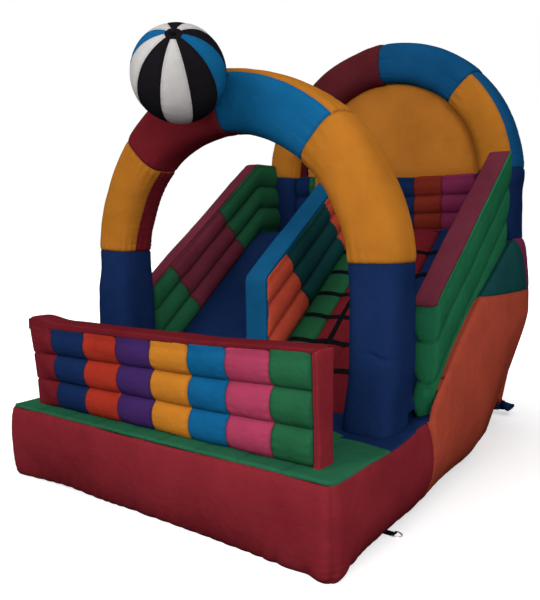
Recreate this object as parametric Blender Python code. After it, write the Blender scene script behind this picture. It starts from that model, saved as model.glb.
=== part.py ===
"""Inflatable slide with a landing bed, a barrier, two arches, a slide lane and a climbing lane.

Metres, +Z up. +Y runs from the landing bed to the tower and +X to the climbing lane's side. Each
length along Y is measured from the front face of the landing bed, and one parent empty then puts
the ground point under the ramp at the origin.
"""

import math

import bmesh
import bpy
from mathutils import Matrix
from mathutils import Vector

# Gap that neighbouring pieces keep
CLEARANCE = 0.0003

# Place of the origin, behind the front face of the bed
ORIGIN_Y = 1.65

# Landing bed
BED_HALF_WIDTH = 1.32
BED_LENGTH = 0.97
FRONT_BULGE = 0.035
FRONT_ROUNDING = 0.05
DECK_HEIGHT = 0.50
DECK_THICKNESS = 0.05
GREEN_DECK_LENGTH = 0.72
DECK_CHANNELS = 9
CHANNEL_WIDTH = 0.030
CHANNEL_DEPTH = 0.008

# Bulging sides, and the rounded corners behind them
SIDE_BULGE = 0.025
GROUND_TUCK = 0.145
FULLEST_AT_FRONT = 0.50
FULLEST_AT_REAR = 0.62
SPLIT_X = 0.80
LIP_FOOT_Y = 0.90
LIP_BLEND = 0.15
LIP_TOP = 1.62
PANEL_SEAM_HEIGHT = 1.22
TOWER_SPLIT_Y = 3.05
REAR_Y = 3.33
REAR_CORNER_LENGTH = 0.88
REAR_CORNER_DEPTH = 0.45
REAR_CORNER_POWER = 2.5
REAR_LIFT = 0.12
REAR_DROP = 0.15

# Ramp, lanes and platform
RAMP_FOOT_Y = 1.06
RAMP_TOP_Y = 2.548
PLATFORM_HEIGHT = 1.66
PLATFORM_PAD = 0.09
PAD_SINK = 0.012
TUBE_CROWN = 0.028
GREEN_TUBE_EDGE = 0.19
CRIMSON_TUBE_EDGE = 0.73

# Side walls and divider, stacked tubes under a flat cap
WALL_FRONT_Y = 1.235
SIDE_LEDGE = 0.02
WALL_THICKNESS = 0.135
WALL_HEIGHT = 0.743
WALL_CAP = 0.035
WALL_TUBES = 3
WALL_BULGE = 0.033
WALL_END_ROUNDING = 0.05
CAP_INSET = 0.004
DIVIDER_X = -0.11
DIVIDER_THICKNESS = 0.166
DIVIDER_HEIGHT = 0.815
LEFT_WALL_FIRST_JOINT_Y = 1.41
LEFT_WALL_SECOND_JOINT_Y = 2.03
RIGHT_WALL_REAR_Y = 2.51
DIVIDER_JOINT_Y = 1.49

# Barrier at the front of the bed
BARRIER_Y = 0.1825
BARRIER_THICKNESS = 0.105
BARRIER_BULGE = 0.030
BARRIER_HEIGHT = 0.588
BARRIER_INSET = 0.16
BARRIER_CAP = 0.033
BARRIER_TUBES = 3
BARRIER_END = 0.025
BARRIER_JOINTS = (-0.93, -0.61, -0.315, -0.01, 0.30, 0.58, 0.883)

# Arches, swept from a section between a square and a circle
ARCH_HALF_SECTION = 0.172
ARCH_SQUARENESS = 4
ARCH_SECTION_POINTS = 12
ARCH_STEPS = 6
LEG_FLARE = 1.015
LEG_FLARE_HEIGHT = 0.07
FRONT_ARCH_Y = 0.885
FRONT_ARCH_INSET = 0.225
FRONT_ARCH_SPRING = 1.475
BACK_ARCH_Y = 3.05
BACK_ARCH_INSET = 0.28
BACK_ARCH_SPRING = 2.09

# Back wall and the disc above it
BACK_WALL_TOP = 2.135
BACK_WALL_THICKNESS = 0.172
BACK_WALL_TUBES = 3
BACK_WALL_BULGE = 0.025
BACK_WALL_JOINTS = (0.31, 0.585)
BACKDROP_Y = 3.035
BACKDROP_THICKNESS = 0.06
BACKDROP_CROWN = 0.03

# Webbing ladder on the climbing lane
STRAP_WIDTH = 0.032
STRAP_THICKNESS = 0.004
FIRST_RUNG_Y = 1.33
RUNG_PITCH = 0.198
RUNGS = 6
NET_INSET = 0.045
RAIL_X = (0.32, 0.86)
RAIL_OVERHANG = 0.06

# Ball in front of the arch's crown
BALL_RADIUS = 0.29
BALL_RISE = 0.05
BALL_COLLAR_RADIUS = 0.11
BALL_COLLAR = 0.035
BALL_SEGMENTS = 18

# Anchor tabs of folded webbing, and the rings that turn in them
ANCHOR_FRONT_Y = 0.66
ANCHOR_REAR_Y = 2.20
TAB_WIDTH = 0.050
TAB_LENGTH = 0.060
WEBBING = 0.0025
FOLD_GAP = 0.0006
RING_WIRE = 0.004
RING_RUNNING_GAP = 0.0005
RING_INNER_WIDTH = 0.054
RING_DEPTH = 0.046

# Inflation sleeve
SLEEVE_X = 0.62
SLEEVE_Z = 0.26
SLEEVE_RADIUS = 0.075
SLEEVE_NECK = 0.030
SLEEVE_MOUTH = 0.080

# Deflation zip on the rear face
ZIP_LENGTH = 0.70
ZIP_HEIGHT = 0.50
TAPE_WIDTH = 0.040
TAPE_THICKNESS = 0.0015
TEETH_WIDTH = 0.006
TEETH_HEIGHT = 0.003
SLIDER_LENGTH = 0.024
SLIDER_WIDTH = 0.014
SLIDER_COVER = 0.0025
SLIDER_GAP = 0.0004
PULL_LENGTH = 0.040
PULL_WIDTH = 0.008

# Values worked out from the sizes above
SLOPE = (PLATFORM_HEIGHT - DECK_HEIGHT) / (RAMP_TOP_Y - RAMP_FOOT_Y)
SLOPE_ANGLE = math.atan(SLOPE)
SEAT_HEIGHT = PLATFORM_HEIGHT - PLATFORM_PAD
SEAT_BEND_Y = WALL_FRONT_Y + (SEAT_HEIGHT - DECK_HEIGHT) / SLOPE
BED_TOP = DECK_HEIGHT - DECK_THICKNESS - CLEARANCE
WALL_OUTER_X = BED_HALF_WIDTH - SIDE_LEDGE
WALL_INNER_X = WALL_OUTER_X - WALL_THICKNESS
LIP_X = WALL_OUTER_X + CLEARANCE
PAD_EDGE_X = WALL_INNER_X - CLEARANCE
DIVIDER_LEFT_X = DIVIDER_X - DIVIDER_THICKNESS / 2
DIVIDER_RIGHT_X = DIVIDER_X + DIVIDER_THICKNESS / 2
BARRIER_HALF_WIDTH = BED_HALF_WIDTH - BARRIER_INSET
FRONT_ARCH_RADIUS = BED_HALF_WIDTH - FRONT_ARCH_INSET
BACK_ARCH_RADIUS = BED_HALF_WIDTH - BACK_ARCH_INSET
BALL_Z = FRONT_ARCH_SPRING + FRONT_ARCH_RADIUS + BALL_RISE
BACK_WALL_Y = BACK_ARCH_Y - ARCH_HALF_SECTION
WALL_REAR_Y = BACK_WALL_Y - CLEARANCE
REAR_CORNER_Y = REAR_Y - REAR_CORNER_LENGTH

COLOURS = {
    "crimson": (0.30, 0.018, 0.030),
    "navy": (0.012, 0.030, 0.14),
    "sky": (0.010, 0.17, 0.42),
    "yellow": (0.68, 0.27, 0.025),
    "orange": (0.50, 0.055, 0.022),
    "purple": (0.10, 0.030, 0.18),
    "magenta": (0.27, 0.025, 0.13),
    "pink": (0.52, 0.07, 0.17),
    "green": (0.025, 0.20, 0.060),
    "teal": (0.006, 0.070, 0.062),
    "white": (0.75, 0.73, 0.72),
    "black": (0.012, 0.011, 0.012),
    "steel": (0.55, 0.55, 0.56),
}


def seat(y):
    """Height of the chambers' top under the walls."""
    return min(DECK_HEIGHT + SLOPE * (y - WALL_FRONT_Y), SEAT_HEIGHT)


def pad_bed(y):
    """Height of the chambers' top under the lanes and the platform."""
    return seat(y) - PAD_SINK


def ramp(y):
    """Height of the lanes' surface."""
    return min(DECK_HEIGHT + SLOPE * (y - RAMP_FOOT_Y), PLATFORM_HEIGHT)


def lip(y):
    """Top edge of the bulging side, which laps over the foot of the wall."""
    line = min(DECK_HEIGHT + SLOPE * (y - LIP_FOOT_Y), LIP_TOP)
    share = min(max((y - BED_LENGTH) / LIP_BLEND, 0.0), 1.0)
    rise = share * share * (3 - 2 * share)
    return DECK_HEIGHT + (line - DECK_HEIGHT) * rise


def ground_x(y):
    """Half-width of the footprint, which tucks in under the taller chambers."""
    return BED_HALF_WIDTH - GROUND_TUCK * y


def fullest_x(y):
    """Half-width at the fullest height, rounded in plan behind the corner's start."""
    share = max(y - REAR_CORNER_Y, 0.0) / REAR_CORNER_LENGTH
    left = max(1 - share**REAR_CORNER_POWER, 0.0) ** (1 / REAR_CORNER_POWER)
    return BED_HALF_WIDTH + SIDE_BULGE - REAR_CORNER_DEPTH * (1 - left)


def side_outline(y, top_x, top_z, floor=0.0):
    """The bulging side at one place along Y, from the ground to its top edge, as (x, z)."""
    low = min(ground_x(y), fullest_x(y) - SIDE_BULGE)
    full = fullest_x(y)
    share = FULLEST_AT_FRONT + (FULLEST_AT_REAR - FULLEST_AT_FRONT) * y / REAR_Y
    middle = floor + share * (top_z - floor)
    turns = [math.radians(22.5 * step) for step in range(5)]
    lower = [(low + (full - low) * math.sin(t), floor + (middle - floor) * (1 - math.cos(t))) for t in turns]
    upper = [(top_x + (full - top_x) * math.cos(t), middle + (top_z - middle) * math.sin(t)) for t in turns]
    return lower + upper[1:]


def evenly(first, last, count):
    """Places from the first to the last, with this many equal steps between them."""
    return [first + (last - first) * index / count for index in range(count + 1)]


def outline_x(outline, z):
    """The outline's X at a height."""
    for (x0, z0), (x1, z1) in zip(outline, outline[1:]):
        if z0 <= z <= z1:
            return x0 + (x1 - x0) * (z - z0) / (z1 - z0)
    return outline[-1][0]


def clear_scene():
    """Remove whatever the scene holds."""
    for old in list(bpy.data.objects):
        bpy.data.objects.remove(old, do_unlink=True)


def make_material(name, colour, roughness, metallic):
    """A Principled BSDF finish."""
    material = bpy.data.materials.new(name)
    material.use_nodes = True
    shader = material.node_tree.nodes["Principled BSDF"]
    shader.inputs["Base Color"].default_value = (*COLOURS[colour], 1.0)
    shader.inputs["Roughness"].default_value = roughness
    shader.inputs["Metallic"].default_value = metallic
    return material


def add_piece(name, data, colour, parent, roughness=0.45, metallic=0.0):
    """An object for one sub-part, under the parent empty."""
    piece = bpy.data.objects.new(name, data)
    bpy.context.collection.objects.link(piece)
    piece.parent = parent
    data.materials.append(make_material(name, colour, roughness, metallic))
    return piece


def mesh_from(name, bm, smooth_angle=35.0):
    """A mesh with outward faces, smooth except at its seams."""
    bmesh.ops.recalc_face_normals(bm, faces=bm.faces)
    mesh = bpy.data.meshes.new(name)
    bm.to_mesh(mesh)
    bm.free()
    mesh.shade_smooth()
    mesh.set_sharp_from_angle(angle=math.radians(smooth_angle))
    return mesh


def closed_loop(bm, points):
    """The vertices of a closed loop, and its edges."""
    verts = [bm.verts.new(point) for point in points]
    edges = [bm.edges.new(pair) for pair in zip(verts, verts[1:] + verts[:1])]
    return verts, edges


def loft(rings):
    """A closed shape extruded from ring to ring, with a face over each end."""
    bm = bmesh.new()
    verts, edges = closed_loop(bm, rings[0])
    bmesh.ops.contextual_create(bm, geom=edges)
    for ring in rings[1:]:
        made = bmesh.ops.extrude_edge_only(bm, edges=edges)["geom"]
        fresh = {item for item in made if isinstance(item, bmesh.types.BMVert)}
        following = []
        for vert, point in zip(verts, ring):
            partner = next(e.other_vert(vert) for e in vert.link_edges if e.other_vert(vert) in fresh)
            partner.co = point
            following.append(partner)
        verts = following
        edges = [bm.edges.get(pair) for pair in zip(verts, verts[1:] + verts[:1])]
    bmesh.ops.contextual_create(bm, geom=edges)
    return bm


def prism(points, direction):
    """A flat outline extruded along a direction."""
    bm = bmesh.new()
    verts, edges = closed_loop(bm, points)
    face = bmesh.ops.contextual_create(bm, geom=edges)["faces"]
    made = bmesh.ops.extrude_face_region(bm, geom=face, use_keep_orig=True)["geom"]
    moved = [item for item in made if isinstance(item, bmesh.types.BMVert)]
    bmesh.ops.translate(bm, verts=moved, vec=Vector(direction))
    return bm


def spun(points, centre, axis, angle, steps):
    """A closed loop spun part of a turn, with a face over each end."""
    bm = bmesh.new()
    verts, edges = closed_loop(bm, points)
    bmesh.ops.contextual_create(bm, geom=edges)
    made = bmesh.ops.spin(bm, geom=verts + edges, cent=centre, axis=axis, angle=angle, steps=steps)
    last = [item for item in made["geom_last"] if isinstance(item, bmesh.types.BMEdge)]
    bmesh.ops.contextual_create(bm, geom=last)
    return bm


def keep_side(bm, point, normal):
    """Cut a shape with a plane and close it, keeping the side that the normal points to."""
    geometry = list(bm.verts) + list(bm.edges) + list(bm.faces)
    cut = bmesh.ops.bisect_plane(
        bm, geom=geometry, dist=1e-6, plane_co=point, plane_no=normal, clear_inner=True
    )
    rim = [item for item in cut["geom_cut"] if isinstance(item, bmesh.types.BMEdge)]
    bmesh.ops.contextual_create(bm, geom=rim)
    return bm


def tube_face(across, side, bottom, top, count, bulge, steps=4):
    """A face of stacked tubes, from bottom to top, as (across, height) points."""
    points = []
    for index in range(count):
        for step in range(steps):
            share = step / steps
            height = bottom + (top - bottom) * (index + share) / count
            points.append((across + side * bulge * math.sin(math.pi * share), height))
    points.append((across, top))
    return points


def tube_wall_section(low, high, bottom, foot, top, count, bulge, straight=0):
    """A section with stacked tubes on both faces, and the lowest ones of the high face left straight."""
    pitch = (top - foot) / count
    right = tube_face(high, 1, foot + straight * pitch, top, count - straight, bulge)
    left = tube_face(low, -1, foot, top, count, bulge)
    return [(low, bottom), (high, bottom)] + right + left[::-1]


def cap_section(low, high, bottom, top):
    """A flat strip with rounded upper edges."""
    edge = (high - low) * 0.12
    shoulder = bottom + (top - bottom) * 0.55
    return [(low, bottom), (high, bottom), (high, shoulder), (high - edge, top), (low + edge, top), (low, shoulder)]


def upright_ring(section, y, base):
    """A section stood up square to Y on a base line."""
    return [(x, y, base(y) + height) for x, height in section]


def squared_ring(section, y, base, level):
    """A section cut square to the slope, with y given at one height of the section."""
    ring = []
    for x, height in section:
        place = y - (height - level) * math.sin(SLOPE_ANGLE) * math.cos(SLOPE_ANGLE)
        ring.append((x, place, base(place) + height))
    return ring


def narrowed(section, inset):
    """A section drawn in at both faces."""
    middle = (min(x for x, _ in section) + max(x for x, _ in section)) / 2
    return [(x - math.copysign(inset, x - middle), height) for x, height in section]


def mirrored(section):
    """A section on the other side of the middle."""
    return [(-x, height) for x, height in section]


def build_landing_bed(parent):
    """Chamber under the deck, with a bulging front and sides."""

    def ring(y, inset):
        outline = side_outline(max(y, 0.0), BED_HALF_WIDTH, BED_TOP)
        right = [(x - inset, z + inset * (0.5 - z / BED_TOP)) for x, z in outline]
        return [(-x, y, z) for x, z in right[::-1]] + [(x, y, z) for x, z in right]

    front = [ring(-FRONT_BULGE, 0.35), ring(-FRONT_BULGE * 0.8, 0.14), ring(-FRONT_BULGE * 0.4, FRONT_ROUNDING)]
    half_tab = TAB_WIDTH / 2
    rest = [ring(y, 0.0) for y in (0.0, 0.3, ANCHOR_FRONT_Y - half_tab, ANCHOR_FRONT_Y + half_tab, BED_LENGTH)]
    add_piece("landing_bed", mesh_from("landing_bed", loft(front + rest)), "crimson", parent)


def build_deck(parent):
    """Green deck with sewn channels from front to back."""
    pitch = 2 * BED_HALF_WIDTH / DECK_CHANNELS
    top = []
    for index in range(1, DECK_CHANNELS):
        x = -BED_HALF_WIDTH + index * pitch
        top.append((x - CHANNEL_WIDTH / 2, DECK_HEIGHT))
        top.append((x, DECK_HEIGHT - CHANNEL_DEPTH))
        top.append((x + CHANNEL_WIDTH / 2, DECK_HEIGHT))
    low = DECK_HEIGHT - DECK_THICKNESS
    corners = [(-BED_HALF_WIDTH, low), (-BED_HALF_WIDTH, DECK_HEIGHT)]
    far = [(BED_HALF_WIDTH, DECK_HEIGHT), (BED_HALF_WIDTH, low)]
    outline = [(x, 0.0, z) for x, z in corners + top + far]
    deck = prism(outline, (0, GREEN_DECK_LENGTH, 0))
    add_piece("landing_deck", mesh_from("landing_deck", deck), "green", parent)


def build_leg_band(parent):
    """Navy band across the deck, with a tongue at each side in front of the wall."""
    start = GREEN_DECK_LENGTH + CLEARANCE
    step = BED_LENGTH - CLEARANCE
    rear = WALL_FRONT_Y - CLEARANCE
    foot = RAMP_FOOT_Y - CLEARANCE
    half = [
        (BED_HALF_WIDTH, start),
        (BED_HALF_WIDTH, step),
        (WALL_OUTER_X, step),
        (WALL_OUTER_X, rear),
        (WALL_INNER_X, rear),
        (WALL_INNER_X, foot),
    ]
    low = DECK_HEIGHT - DECK_THICKNESS
    outline = [(x, y, low) for x, y in half] + [(-x, y, low) for x, y in half[::-1]]
    band = prism(outline, (0, 0, DECK_THICKNESS))
    add_piece("leg_band", mesh_from("leg_band", band), "navy", parent)


def build_ramp_core(parent):
    """Wedge-shaped chamber under the lanes and the platform."""
    front = BED_LENGTH + CLEARANCE
    foot = RAMP_FOOT_Y
    rear = TOWER_SPLIT_Y
    outline = [
        (front, 0.0),
        (rear, 0.0),
        (rear, pad_bed(rear) - CLEARANCE),
        (SEAT_BEND_Y, pad_bed(rear) - CLEARANCE),
        (foot, pad_bed(foot) - CLEARANCE),
        (foot - CLEARANCE, BED_TOP),
        (front, BED_TOP),
    ]
    half = SPLIT_X - CLEARANCE
    core = prism([(-half, y, z) for y, z in outline], (2 * half, 0, 0))
    add_piece("ramp_core", mesh_from("ramp_core", core), "navy", parent)


def side_chamber_ring(y, wall_seat, lane_seat):
    """The side chamber at one place along Y: its bulging side, its lip and its two seats."""
    outline = side_outline(y, LIP_X, lip(y))
    steps = [(LIP_X, wall_seat), (PAD_EDGE_X, wall_seat), (PAD_EDGE_X, lane_seat), (SPLIT_X, lane_seat)]
    return [(x, y, z) for x, z in [(SPLIT_X, 0.0)] + outline + steps]


def side_chamber_loft():
    """The whole right side chamber, before its upper panel is cut off."""
    rings = []
    for y in (BED_LENGTH + CLEARANCE, RAMP_FOOT_Y - CLEARANCE):
        rings.append(side_chamber_ring(y, BED_TOP, BED_TOP - PAD_SINK))
    for y in (RAMP_FOOT_Y, WALL_FRONT_Y - CLEARANCE):
        rings.append(side_chamber_ring(y, BED_TOP, pad_bed(y) - CLEARANCE))
    tab_front = ANCHOR_REAR_Y - TAB_WIDTH / 2
    stations = [tab_front + TAB_WIDTH, REAR_CORNER_Y]
    stations += evenly(WALL_FRONT_Y, tab_front, 4) + evenly(SEAT_BEND_Y, TOWER_SPLIT_Y, 3)
    for y in sorted(stations):
        rings.append(side_chamber_ring(y, seat(y) - CLEARANCE, pad_bed(y) - CLEARANCE))
    return loft(rings)


def build_side_chambers(parent):
    """Each side's lower chamber and the panel sewn above its seam."""
    seam = Vector((0, 0, PANEL_SEAM_HEIGHT))
    lift = Vector((0, 0, CLEARANCE))
    for side, sign in (("left", -1), ("right", 1)):
        lower = keep_side(side_chamber_loft(), seam, (0, 0, -1))
        upper = keep_side(side_chamber_loft(), seam + lift, (0, 0, 1))
        for name, bm, colour in ((f"side_chamber_{side}", lower, "orange"), (f"side_panel_{side}", upper, "teal")):
            bmesh.ops.scale(bm, vec=(sign, 1, 1), verts=bm.verts)
            add_piece(name, mesh_from(name, bm), colour, parent)


def rear_chamber_ring(y):
    """The rear chamber at one place along Y, drawn in above and below towards its face."""
    share = (y - TOWER_SPLIT_Y) / (REAR_Y - TOWER_SPLIT_Y)
    draw = 1 - math.sqrt(max(1 - share * share, 0.0))
    high = SEAT_HEIGHT - REAR_DROP * draw**2
    low = REAR_LIFT * draw
    top_x = min(LIP_X, fullest_x(y) - 0.03)
    outline = side_outline(y, top_x, high, low)
    return [(-x, y, z) for x, z in outline[::-1]] + [(x, y, z) for x, z in outline]


def build_rear_chamber(parent):
    """Chamber across the back of the tower, with rounded corners."""
    start = TOWER_SPLIT_Y + CLEARANCE
    depth = REAR_Y - start
    rings = [rear_chamber_ring(start + depth * share) for share in (0.0, 0.3, 0.58, 0.8, 0.94, 1.0)]
    add_piece("rear_chamber", mesh_from("rear_chamber", loft(rings)), "orange", parent)


def barrier_section():
    """Section of the barrier's tubes, as (y, z)."""
    low = BARRIER_Y - BARRIER_THICKNESS / 2
    high = BARRIER_Y + BARRIER_THICKNESS / 2
    bottom = DECK_HEIGHT + CLEARANCE
    top = DECK_HEIGHT + BARRIER_HEIGHT - BARRIER_CAP
    return tube_wall_section(low, high, bottom, bottom + 0.001, top, BARRIER_TUBES, BARRIER_BULGE)


def add_guide(name, data):
    """A hidden shape that a Boolean joins to a piece."""
    guide = bpy.data.objects.new(name, data)
    bpy.context.collection.objects.link(guide)
    guide.hide_render = True
    guide.display_type = "WIRE"
    return guide


def join(piece, guide):
    """Union a guide into a piece."""
    guide.parent = piece.parent
    union = piece.modifiers.new(guide.name, "BOOLEAN")
    union.operation = "UNION"
    union.solver = "EXACT"
    union.object = guide


def build_barrier(parent):
    """Colour blocks of three tubes each, in a crimson frame of end column, cap and end panel."""
    section = barrier_section()
    colours = ("navy", "orange", "purple", "yellow", "sky", "pink", "green")
    right_end = BARRIER_HALF_WIDTH - BARRIER_END
    edges = BARRIER_JOINTS + (right_end,)
    for colour, left, right in zip(colours, edges, edges[1:]):
        start = left + CLEARANCE
        block = prism([(start, y, z - CLEARANCE) for y, z in section], (right - start, 0, 0))
        block = keep_side(block, (0, 0, DECK_HEIGHT + CLEARANCE), (0, 0, 1))
        name = f"barrier_{colour}"
        add_piece(name, mesh_from(name, block), colour, parent)
    column = prism([(-BARRIER_HALF_WIDTH, y, z) for y, z in section], (BARRIER_HALF_WIDTH + edges[0], 0, 0))
    frame = add_piece("barrier_frame", mesh_from("barrier_frame", column), "crimson", parent)
    top = DECK_HEIGHT + BARRIER_HEIGHT
    low = BARRIER_Y - BARRIER_THICKNESS / 2
    high = BARRIER_Y + BARRIER_THICKNESS / 2
    strip = cap_section(low, high, top - BARRIER_CAP, top)
    cap = prism([(-BARRIER_HALF_WIDTH - 0.004, y, z) for y, z in strip], (2 * BARRIER_HALF_WIDTH + 0.008, 0, 0))
    join(frame, add_guide("barrier_cap_guide", mesh_from("barrier_cap_guide", cap)))
    bottom = DECK_HEIGHT + CLEARANCE
    lap = top - BARRIER_CAP / 2
    start = right_end + CLEARANCE
    panel_outline = [(low, bottom), (high, bottom), (high, lap), (low, lap)]
    panel = prism([(start, y, z) for y, z in panel_outline], (BARRIER_HALF_WIDTH - start, 0, 0))
    join(frame, add_guide("barrier_panel_guide", mesh_from("barrier_panel_guide", panel)))


def arch_section():
    """The arches' section, between a square and a circle, as (across, along)."""
    power = 2 / ARCH_SQUARENESS
    points = []
    for index in range(ARCH_SECTION_POINTS):
        turn = 2 * math.pi * index / ARCH_SECTION_POINTS
        across = math.copysign(abs(math.cos(turn)) ** power, math.cos(turn))
        along = math.copysign(abs(math.sin(turn)) ** power, math.sin(turn))
        points.append((ARCH_HALF_SECTION * across, ARCH_HALF_SECTION * along))
    return points


def build_leg(name, x, y, bottom, top, flare, parent):
    """A straight leg that may flare a little at its foot."""
    levels = ((bottom, flare), (bottom + LEG_FLARE_HEIGHT, 1.0), (top, 1.0))
    rings = [[(x + a * size, y + b * size, z) for a, b in arch_section()] for z, size in levels]
    add_piece(name, mesh_from(name, loft(rings)), "navy", parent)


def build_arch(prefix, y, radius, spring, foot, flare, parent):
    """Two legs and a half ring of four colour panels."""
    turn = CLEARANCE / (radius - ARCH_HALF_SECTION)
    for side, sign in (("left", -1), ("right", 1)):
        build_leg(f"{prefix}_leg_{side}", sign * radius, y, foot, spring - CLEARANCE, flare, parent)
    panels = (("yellow_right", "yellow"), ("sky", "sky"), ("crimson", "crimson"), ("yellow_left", "yellow"))
    quarter = math.pi / 4
    for index, (panel, colour) in enumerate(panels):
        first = index * quarter
        start = first + (turn if index else 0.0)
        centre = Vector((0, y, spring))
        spin_in = Matrix.Rotation(-start, 3, "Y")
        ring = [spin_in @ Vector((radius + a, b, 0)) + centre for a, b in arch_section()]
        swept = spun(ring, centre, (0, -1, 0), first + quarter - start, ARCH_STEPS)
        name = f"{prefix}_arch_{panel}"
        add_piece(name, mesh_from(name, swept), colour, parent)


def side_wall_section():
    """Section of the right side wall above its seat."""
    foot = ramp(WALL_FRONT_Y) - seat(WALL_FRONT_Y)
    top = WALL_HEIGHT - WALL_CAP
    return tube_wall_section(WALL_INNER_X, WALL_OUTER_X, 0.0, foot, top, WALL_TUBES, WALL_BULGE, straight=1)


def wall_rear_rings(section, rear):
    """The rounded rear end of a side wall, after the bend if the wall reaches past it."""
    before = rear - WALL_END_ROUNDING
    bend = [upright_ring(section, SEAT_BEND_Y, seat)] if before > SEAT_BEND_Y else []
    return bend + [
        upright_ring(section, before, seat),
        upright_ring(narrowed(section, WALL_END_ROUNDING * 0.5), rear, seat),
    ]


def build_side_walls(parent):
    """Scalloped walls outside the lanes, the left one in three colour panels."""
    section = side_wall_section()
    front = upright_ring(section, WALL_FRONT_Y, seat)
    right = loft([front] + wall_rear_rings(section, RIGHT_WALL_REAR_Y))
    add_piece("right_wall", mesh_from("right_wall", right), "green", parent)

    section = mirrored(section)
    level = WALL_HEIGHT
    first = LEFT_WALL_FIRST_JOINT_Y
    second = LEFT_WALL_SECOND_JOINT_Y
    gap = CLEARANCE / math.cos(SLOPE_ANGLE)
    pieces = (
        ("left_wall_green_front", "green", [
            upright_ring(section, WALL_FRONT_Y, seat),
            squared_ring(section, first - gap, seat, level),
        ]),
        ("left_wall_crimson", "crimson", [
            squared_ring(section, first, seat, level),
            squared_ring(section, second - gap, seat, level),
        ]),
        ("left_wall_green_rear", "green", [
            squared_ring(section, second, seat, level),
            *wall_rear_rings(section, WALL_REAR_Y),
        ]),
    )
    for name, colour, rings in pieces:
        add_piece(name, mesh_from(name, loft(rings)), colour, parent)

    bottom = WALL_HEIGHT - WALL_CAP + CLEARANCE
    strip = cap_section(WALL_INNER_X + CAP_INSET, WALL_OUTER_X - CAP_INSET, bottom, WALL_HEIGHT)
    for side, outline, rear in (("left", mirrored(strip), WALL_REAR_Y), ("right", strip, RIGHT_WALL_REAR_Y)):
        rings = [upright_ring(outline, WALL_FRONT_Y, seat)] + wall_rear_rings(outline, rear)
        name = f"{side}_wall_cap"
        add_piece(name, mesh_from(name, loft(rings)), "crimson", parent)


def build_divider(parent):
    """Wall between the lanes: two colour panels under a strip that runs down its front."""
    front = WALL_FRONT_Y + WALL_CAP + CLEARANCE
    rear = RAMP_TOP_Y - CLEARANCE
    foot = ramp(WALL_FRONT_Y) - seat(WALL_FRONT_Y)
    bottom = CLEARANCE - PAD_SINK
    top = DIVIDER_HEIGHT - WALL_CAP
    section = tube_wall_section(DIVIDER_LEFT_X, DIVIDER_RIGHT_X, bottom, foot, top, WALL_TUBES, WALL_BULGE)
    gap = CLEARANCE / math.cos(SLOPE_ANGLE)
    orange = [
        upright_ring(section, front, seat),
        squared_ring(section, DIVIDER_JOINT_Y - gap, seat, DIVIDER_HEIGHT),
    ]
    teal = [squared_ring(section, DIVIDER_JOINT_Y, seat, DIVIDER_HEIGHT), upright_ring(section, rear, seat)]
    add_piece("divider_orange", mesh_from("divider_orange", loft(orange)), "orange", parent)
    add_piece("divider_teal", mesh_from("divider_teal", loft(teal)), "teal", parent)

    low = DIVIDER_LEFT_X
    high = DIVIDER_RIGHT_X
    inner = [(low, 0.0), (high, 0.0)]
    outer = [(high, 0.55), (high - 0.02, 1.0), (low + 0.02, 1.0), (low, 0.55)]
    section = inner + outer
    foot_z = pad_bed(WALL_FRONT_Y + WALL_CAP) + CLEARANCE
    corner_z = seat(WALL_FRONT_Y) + DIVIDER_HEIGHT
    thickness = WALL_CAP - CLEARANCE
    inner_y = WALL_FRONT_Y + WALL_CAP
    inner_corner_z = seat(inner_y) + DIVIDER_HEIGHT - thickness
    inner_rear_z = seat(rear) + DIVIDER_HEIGHT - thickness
    stations = (
        ((inner_y, foot_z), (WALL_FRONT_Y, foot_z)),
        ((inner_y, inner_corner_z), (WALL_FRONT_Y, corner_z)),
        ((rear, inner_rear_z), (rear, inner_rear_z + thickness)),
    )
    rings = []
    for (y0, z0), (y1, z1) in stations:
        rings.append([(x, y0 + (y1 - y0) * out, z0 + (z1 - z0) * out) for x, out in section])
    add_piece("divider_cap", mesh_from("divider_cap", loft(rings)), "sky", parent)


def lane_pad(left, right, tubes, crown):
    """A pad on the slope with lengthwise tubes on top."""
    foot = RAMP_FOOT_Y + CLEARANCE
    rear = RAMP_TOP_Y - CLEARANCE
    steps = 4
    profile = []
    for index in range(tubes * steps + 1):
        x = right + (left - right) * index / (tubes * steps)
        profile.append((x, -crown * (1 - abs(math.sin(math.pi * index / steps)))))
    rings = []
    for y in (foot, rear):
        low = pad_bed(y)
        rings.append([(left, y, low), (right, y, low)] + [(x, y, ramp(y) + drop) for x, drop in profile])
    return loft(rings)


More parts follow.
